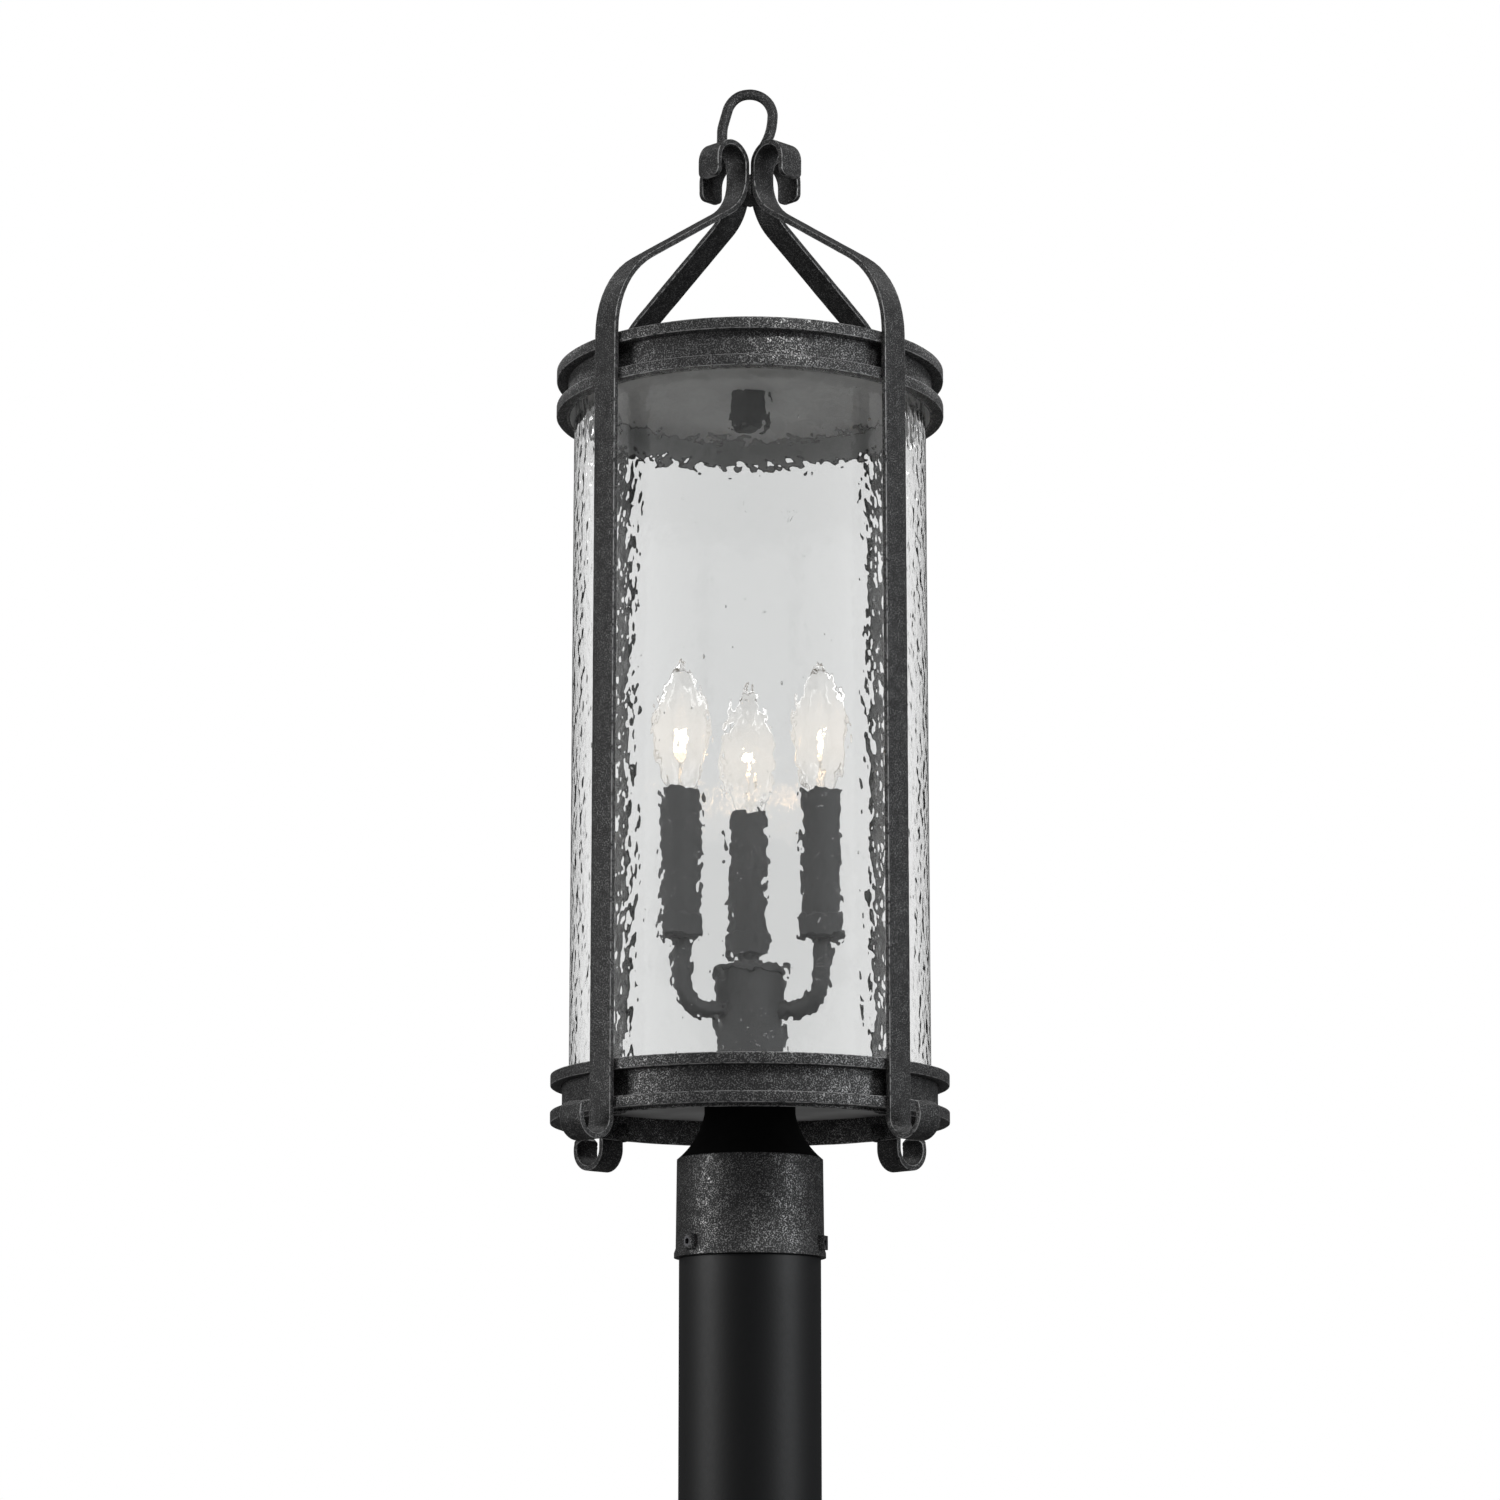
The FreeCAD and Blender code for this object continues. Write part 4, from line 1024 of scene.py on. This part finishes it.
def build_world(stage):
    """White where the eye or the glass looks straight through; a darker studio for everything else."""
    world = bpy.data.worlds.new("studio")
    world.use_nodes = True
    world.node_tree.nodes.clear()
    tree = Signal(world.node_tree)
    paths = [tree.node("ShaderNodeLightPath", {}, {}, kind)
             for kind in ("Is Camera Ray", "Is Transmission Ray", "Is Diffuse Ray")]
    direction = tree.node("ShaderNodeTexCoord", {}, {}, "Generated")
    height = tree.node("ShaderNodeSeparateXYZ", {}, {0: direction}, "Z")
    below = paths[2] * (1.0 - height.between(-0.35, 0.05))
    skies = [tree.node("ShaderNodeBackground", {}, {"Color": CLEAR, "Strength": strength})
             for strength in (stage.surround, stage.ground_glow, 1.0)]
    studio = tree.node("ShaderNodeMixShader", {}, {0: below, 1: skies[0], 2: skies[1]})
    seen = paths[0].math("MAXIMUM", paths[0], paths[1])
    mixed = tree.node("ShaderNodeMixShader", {}, {0: seen, 1: studio, 2: skies[2]})
    tree.node("ShaderNodeOutputWorld", {}, {"Surface": mixed})
    bpy.context.scene.world = world


def link_light(light, pieces, state):
    """Makes a light reach only some pieces (INCLUDE), or all but them (EXCLUDE)."""
    chosen = bpy.data.collections.new(light.name + "_pieces")
    for piece in pieces:
        chosen.objects.link(piece)
    for entry in chosen.collection_objects:
        entry.light_linking.link_state = state
    light.light_linking.receiver_collection = chosen


def build_floor(stage):
    """A pale floor with its own light, which leaves the lantern's underside in the shade."""
    data = bpy.data.meshes.new("floor")
    work = bmesh.new()
    bmesh.ops.create_grid(work, x_segments=FLOOR_SEGMENTS, y_segments=FLOOR_SEGMENTS, size=FLOOR_HALF_WIDTH)
    work.to_mesh(data)
    work.free()
    data.materials.append(finish("floor_finish", paint_floor))
    floor = bpy.data.objects.new("floor", data)
    floor.visible_glossy = False
    floor.visible_diffuse = False
    bpy.context.scene.collection.objects.link(floor)
    sun_data = bpy.data.lights.new("floor_sun", "SUN")
    sun_data.energy = stage.floor_sun
    sun_data.angle = SUN_SPREAD
    sun = bpy.data.objects.new("floor_sun", sun_data)
    sun.rotation_euler = SUN_TILT
    bpy.context.scene.collection.objects.link(sun)
    link_light(sun, [floor], "INCLUDE")


class LANTERN_OT_stage(bpy.types.Operator):
    """Sets up the floor, the soft lights, the white surround and the camera"""

    bl_idname = "lantern.build_stage"
    bl_label = "Stage"

    def execute(self, context):
        stage = context.scene.lantern_stage
        build_world(stage)
        context.scene.view_settings.view_transform = "Standard"
        build_floor(stage)
        for name, (size, place, power, shade, _) in STUDIO_LIGHTS.items():
            soft_light(name, size, place, power, shade)
        camera_data = bpy.data.cameras.new("camera")
        camera_data.lens = stage.lens
        camera = bpy.data.objects.new("camera", camera_data)
        camera.location = (0.0, -stage.camera_distance, stage.camera_height)
        camera.rotation_euler = (math.pi / 2 + stage.camera_pitch, 0.0, 0.0)
        context.scene.collection.objects.link(camera)
        context.scene.camera = camera
        return {"FINISHED"}


class LANTERN_OT_post(bpy.types.Operator):
    """Builds the painted post"""

    bl_idname = "lantern.build_post"
    bl_label = "Post"

    def execute(self, context):
        build_post(context.scene.lantern_metal)
        return {"FINISHED"}


class LANTERN_OT_castings(bpy.types.Operator):
    """Builds the collar casting, the core block and the fasteners with softened edges"""

    bl_idname = "lantern.build_castings"
    bl_label = "Castings and fasteners"

    def execute(self, context):
        pieces = {node: softened(node, edge) for node, edge in CASTING_EDGES.items()}
        pieces["ceiling_boss"].data.materials[0] = slot_finish("boss_paint")
        collar = pieces["collar_casting"].data
        # The neck gets the painted shade: a near-black finish where the collar casting lies in the shade of
        # the plate above.
        collar.materials.append(finish("neck_painted_shade", paint_neck_shade))
        neck_low = context.scene.lantern_metal.neck_low
        for polygon in collar.polygons:
            if polygon.center.z > neck_low:
                polygon.material_index = 1
        return {"FINISHED"}


class LANTERN_OT_rings(bpy.types.Operator):
    """Builds the two bands and their four hoops"""

    bl_idname = "lantern.build_rings"
    bl_label = "Bands and hoops"

    def execute(self, context):
        metal = context.scene.lantern_metal
        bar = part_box("bottom_lower_hoop")[1].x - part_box("bottom_band")[1].x
        for side in ("bottom", "top"):
            build_ring(side + "_band", metal.band_wall, metal)
            build_ring(side + "_lower_hoop", bar, metal)
            build_ring(side + "_flange_hoop", bar, metal)
        return {"FINISHED"}


class LANTERN_OT_straps(bpy.types.Operator):
    """Builds the four forged straps and the loop"""

    bl_idname = "lantern.build_straps"
    bl_label = "Straps and loop"

    def execute(self, context):
        straps, metal = context.scene.lantern_straps, context.scene.lantern_metal
        for name, degrees in STRAP_ANGLES.items():
            build_strap(name, degrees, straps, metal)
        build_loop(straps, metal)
        return {"FINISHED"}


class LANTERN_OT_glass(bpy.types.Operator):
    """Builds the rippled and seeded glass cylinder"""

    bl_idname = "lantern.build_glass"
    bl_label = "Glass cylinder"

    def execute(self, context):
        glass = context.scene.lantern_glass
        data = add_seeds(glass_shell(glass).mesh("glass_cylinder"), glass)
        add_piece("glass_cylinder_rippled", data, ["seeded_glass"], ["glass_cylinder"])
        return {"FINISHED"}


class LANTERN_OT_lamps(bpy.types.Operator):
    """Builds the three lamps' envelopes and filaments"""

    bl_idname = "lantern.build_lamps"
    bl_label = "Lamps"

    def execute(self, context):
        glass = context.scene.lantern_glass
        for number in LAMP_NUMBERS:
            build_lamp_glass(number, glass)
            build_filament(number)
        return {"FINISHED"}


class LANTERN_OT_carried(bpy.types.Operator):
    """Gives every CAD node that still shows the finish of its material slot"""

    bl_idname = "lantern.finish_carried_nodes"
    bl_label = "Finish of the other parts"

    def execute(self, context):
        for node, item in frame["nodes"].items():
            if item.hide_render:
                continue
            item.data.materials.clear()
            item.data.materials.append(slot_finish(SLOT_OF[node]))
        return {"FINISHED"}


class LANTERN_OT_light_links(bpy.types.Operator):
    """Keeps the lamps off the floor, and the low ones out of the glass, where they would mirror"""

    bl_idname = "lantern.link_lights"
    bl_label = "Light links"

    def execute(self, context):
        objects = bpy.data.objects
        for name, (*_, spared) in STUDIO_LIGHTS.items():
            pieces = [objects[piece] for piece in ("floor",) + spared]
            link_light(objects[name], pieces, "EXCLUDE")
        return {"FINISHED"}


class LANTERN_PT_panel(bpy.types.Panel):
    """Lists the lantern's builders"""

    bl_idname = "LANTERN_PT_panel"
    bl_label = "Post lantern"
    bl_space_type = "VIEW_3D"
    bl_region_type = "UI"
    bl_category = "Lantern"

    def draw(self, context):
        for operator in OPERATORS:
            self.layout.operator(operator.bl_idname)


GROUPS = {
    "lantern_metal": LANTERN_PG_metal,
    "lantern_straps": LANTERN_PG_straps,
    "lantern_glass": LANTERN_PG_glass,
    "lantern_stage": LANTERN_PG_stage,
}
OPERATORS = (
    LANTERN_OT_stage,
    LANTERN_OT_post,
    LANTERN_OT_castings,
    LANTERN_OT_rings,
    LANTERN_OT_straps,
    LANTERN_OT_glass,
    LANTERN_OT_lamps,
    LANTERN_OT_carried,
    LANTERN_OT_light_links,
)


def register():
    for group in GROUPS.values():
        bpy.utils.register_class(group)
    for word, group in GROUPS.items():
        setattr(bpy.types.Scene, word, PointerProperty(type=group))
    for operator in OPERATORS:
        bpy.utils.register_class(operator)
    bpy.utils.register_class(LANTERN_PT_panel)


def unregister():
    bpy.utils.unregister_class(LANTERN_PT_panel)
    for operator in reversed(OPERATORS):
        bpy.utils.unregister_class(operator)
    for word, group in reversed(GROUPS.items()):
        delattr(bpy.types.Scene, word)
        bpy.utils.unregister_class(group)


def main():
    register()
    for operator in OPERATORS:
        family, action = operator.bl_idname.split(".")
        getattr(getattr(bpy.ops, family), action)()


if __name__ == "__main__":
    main()
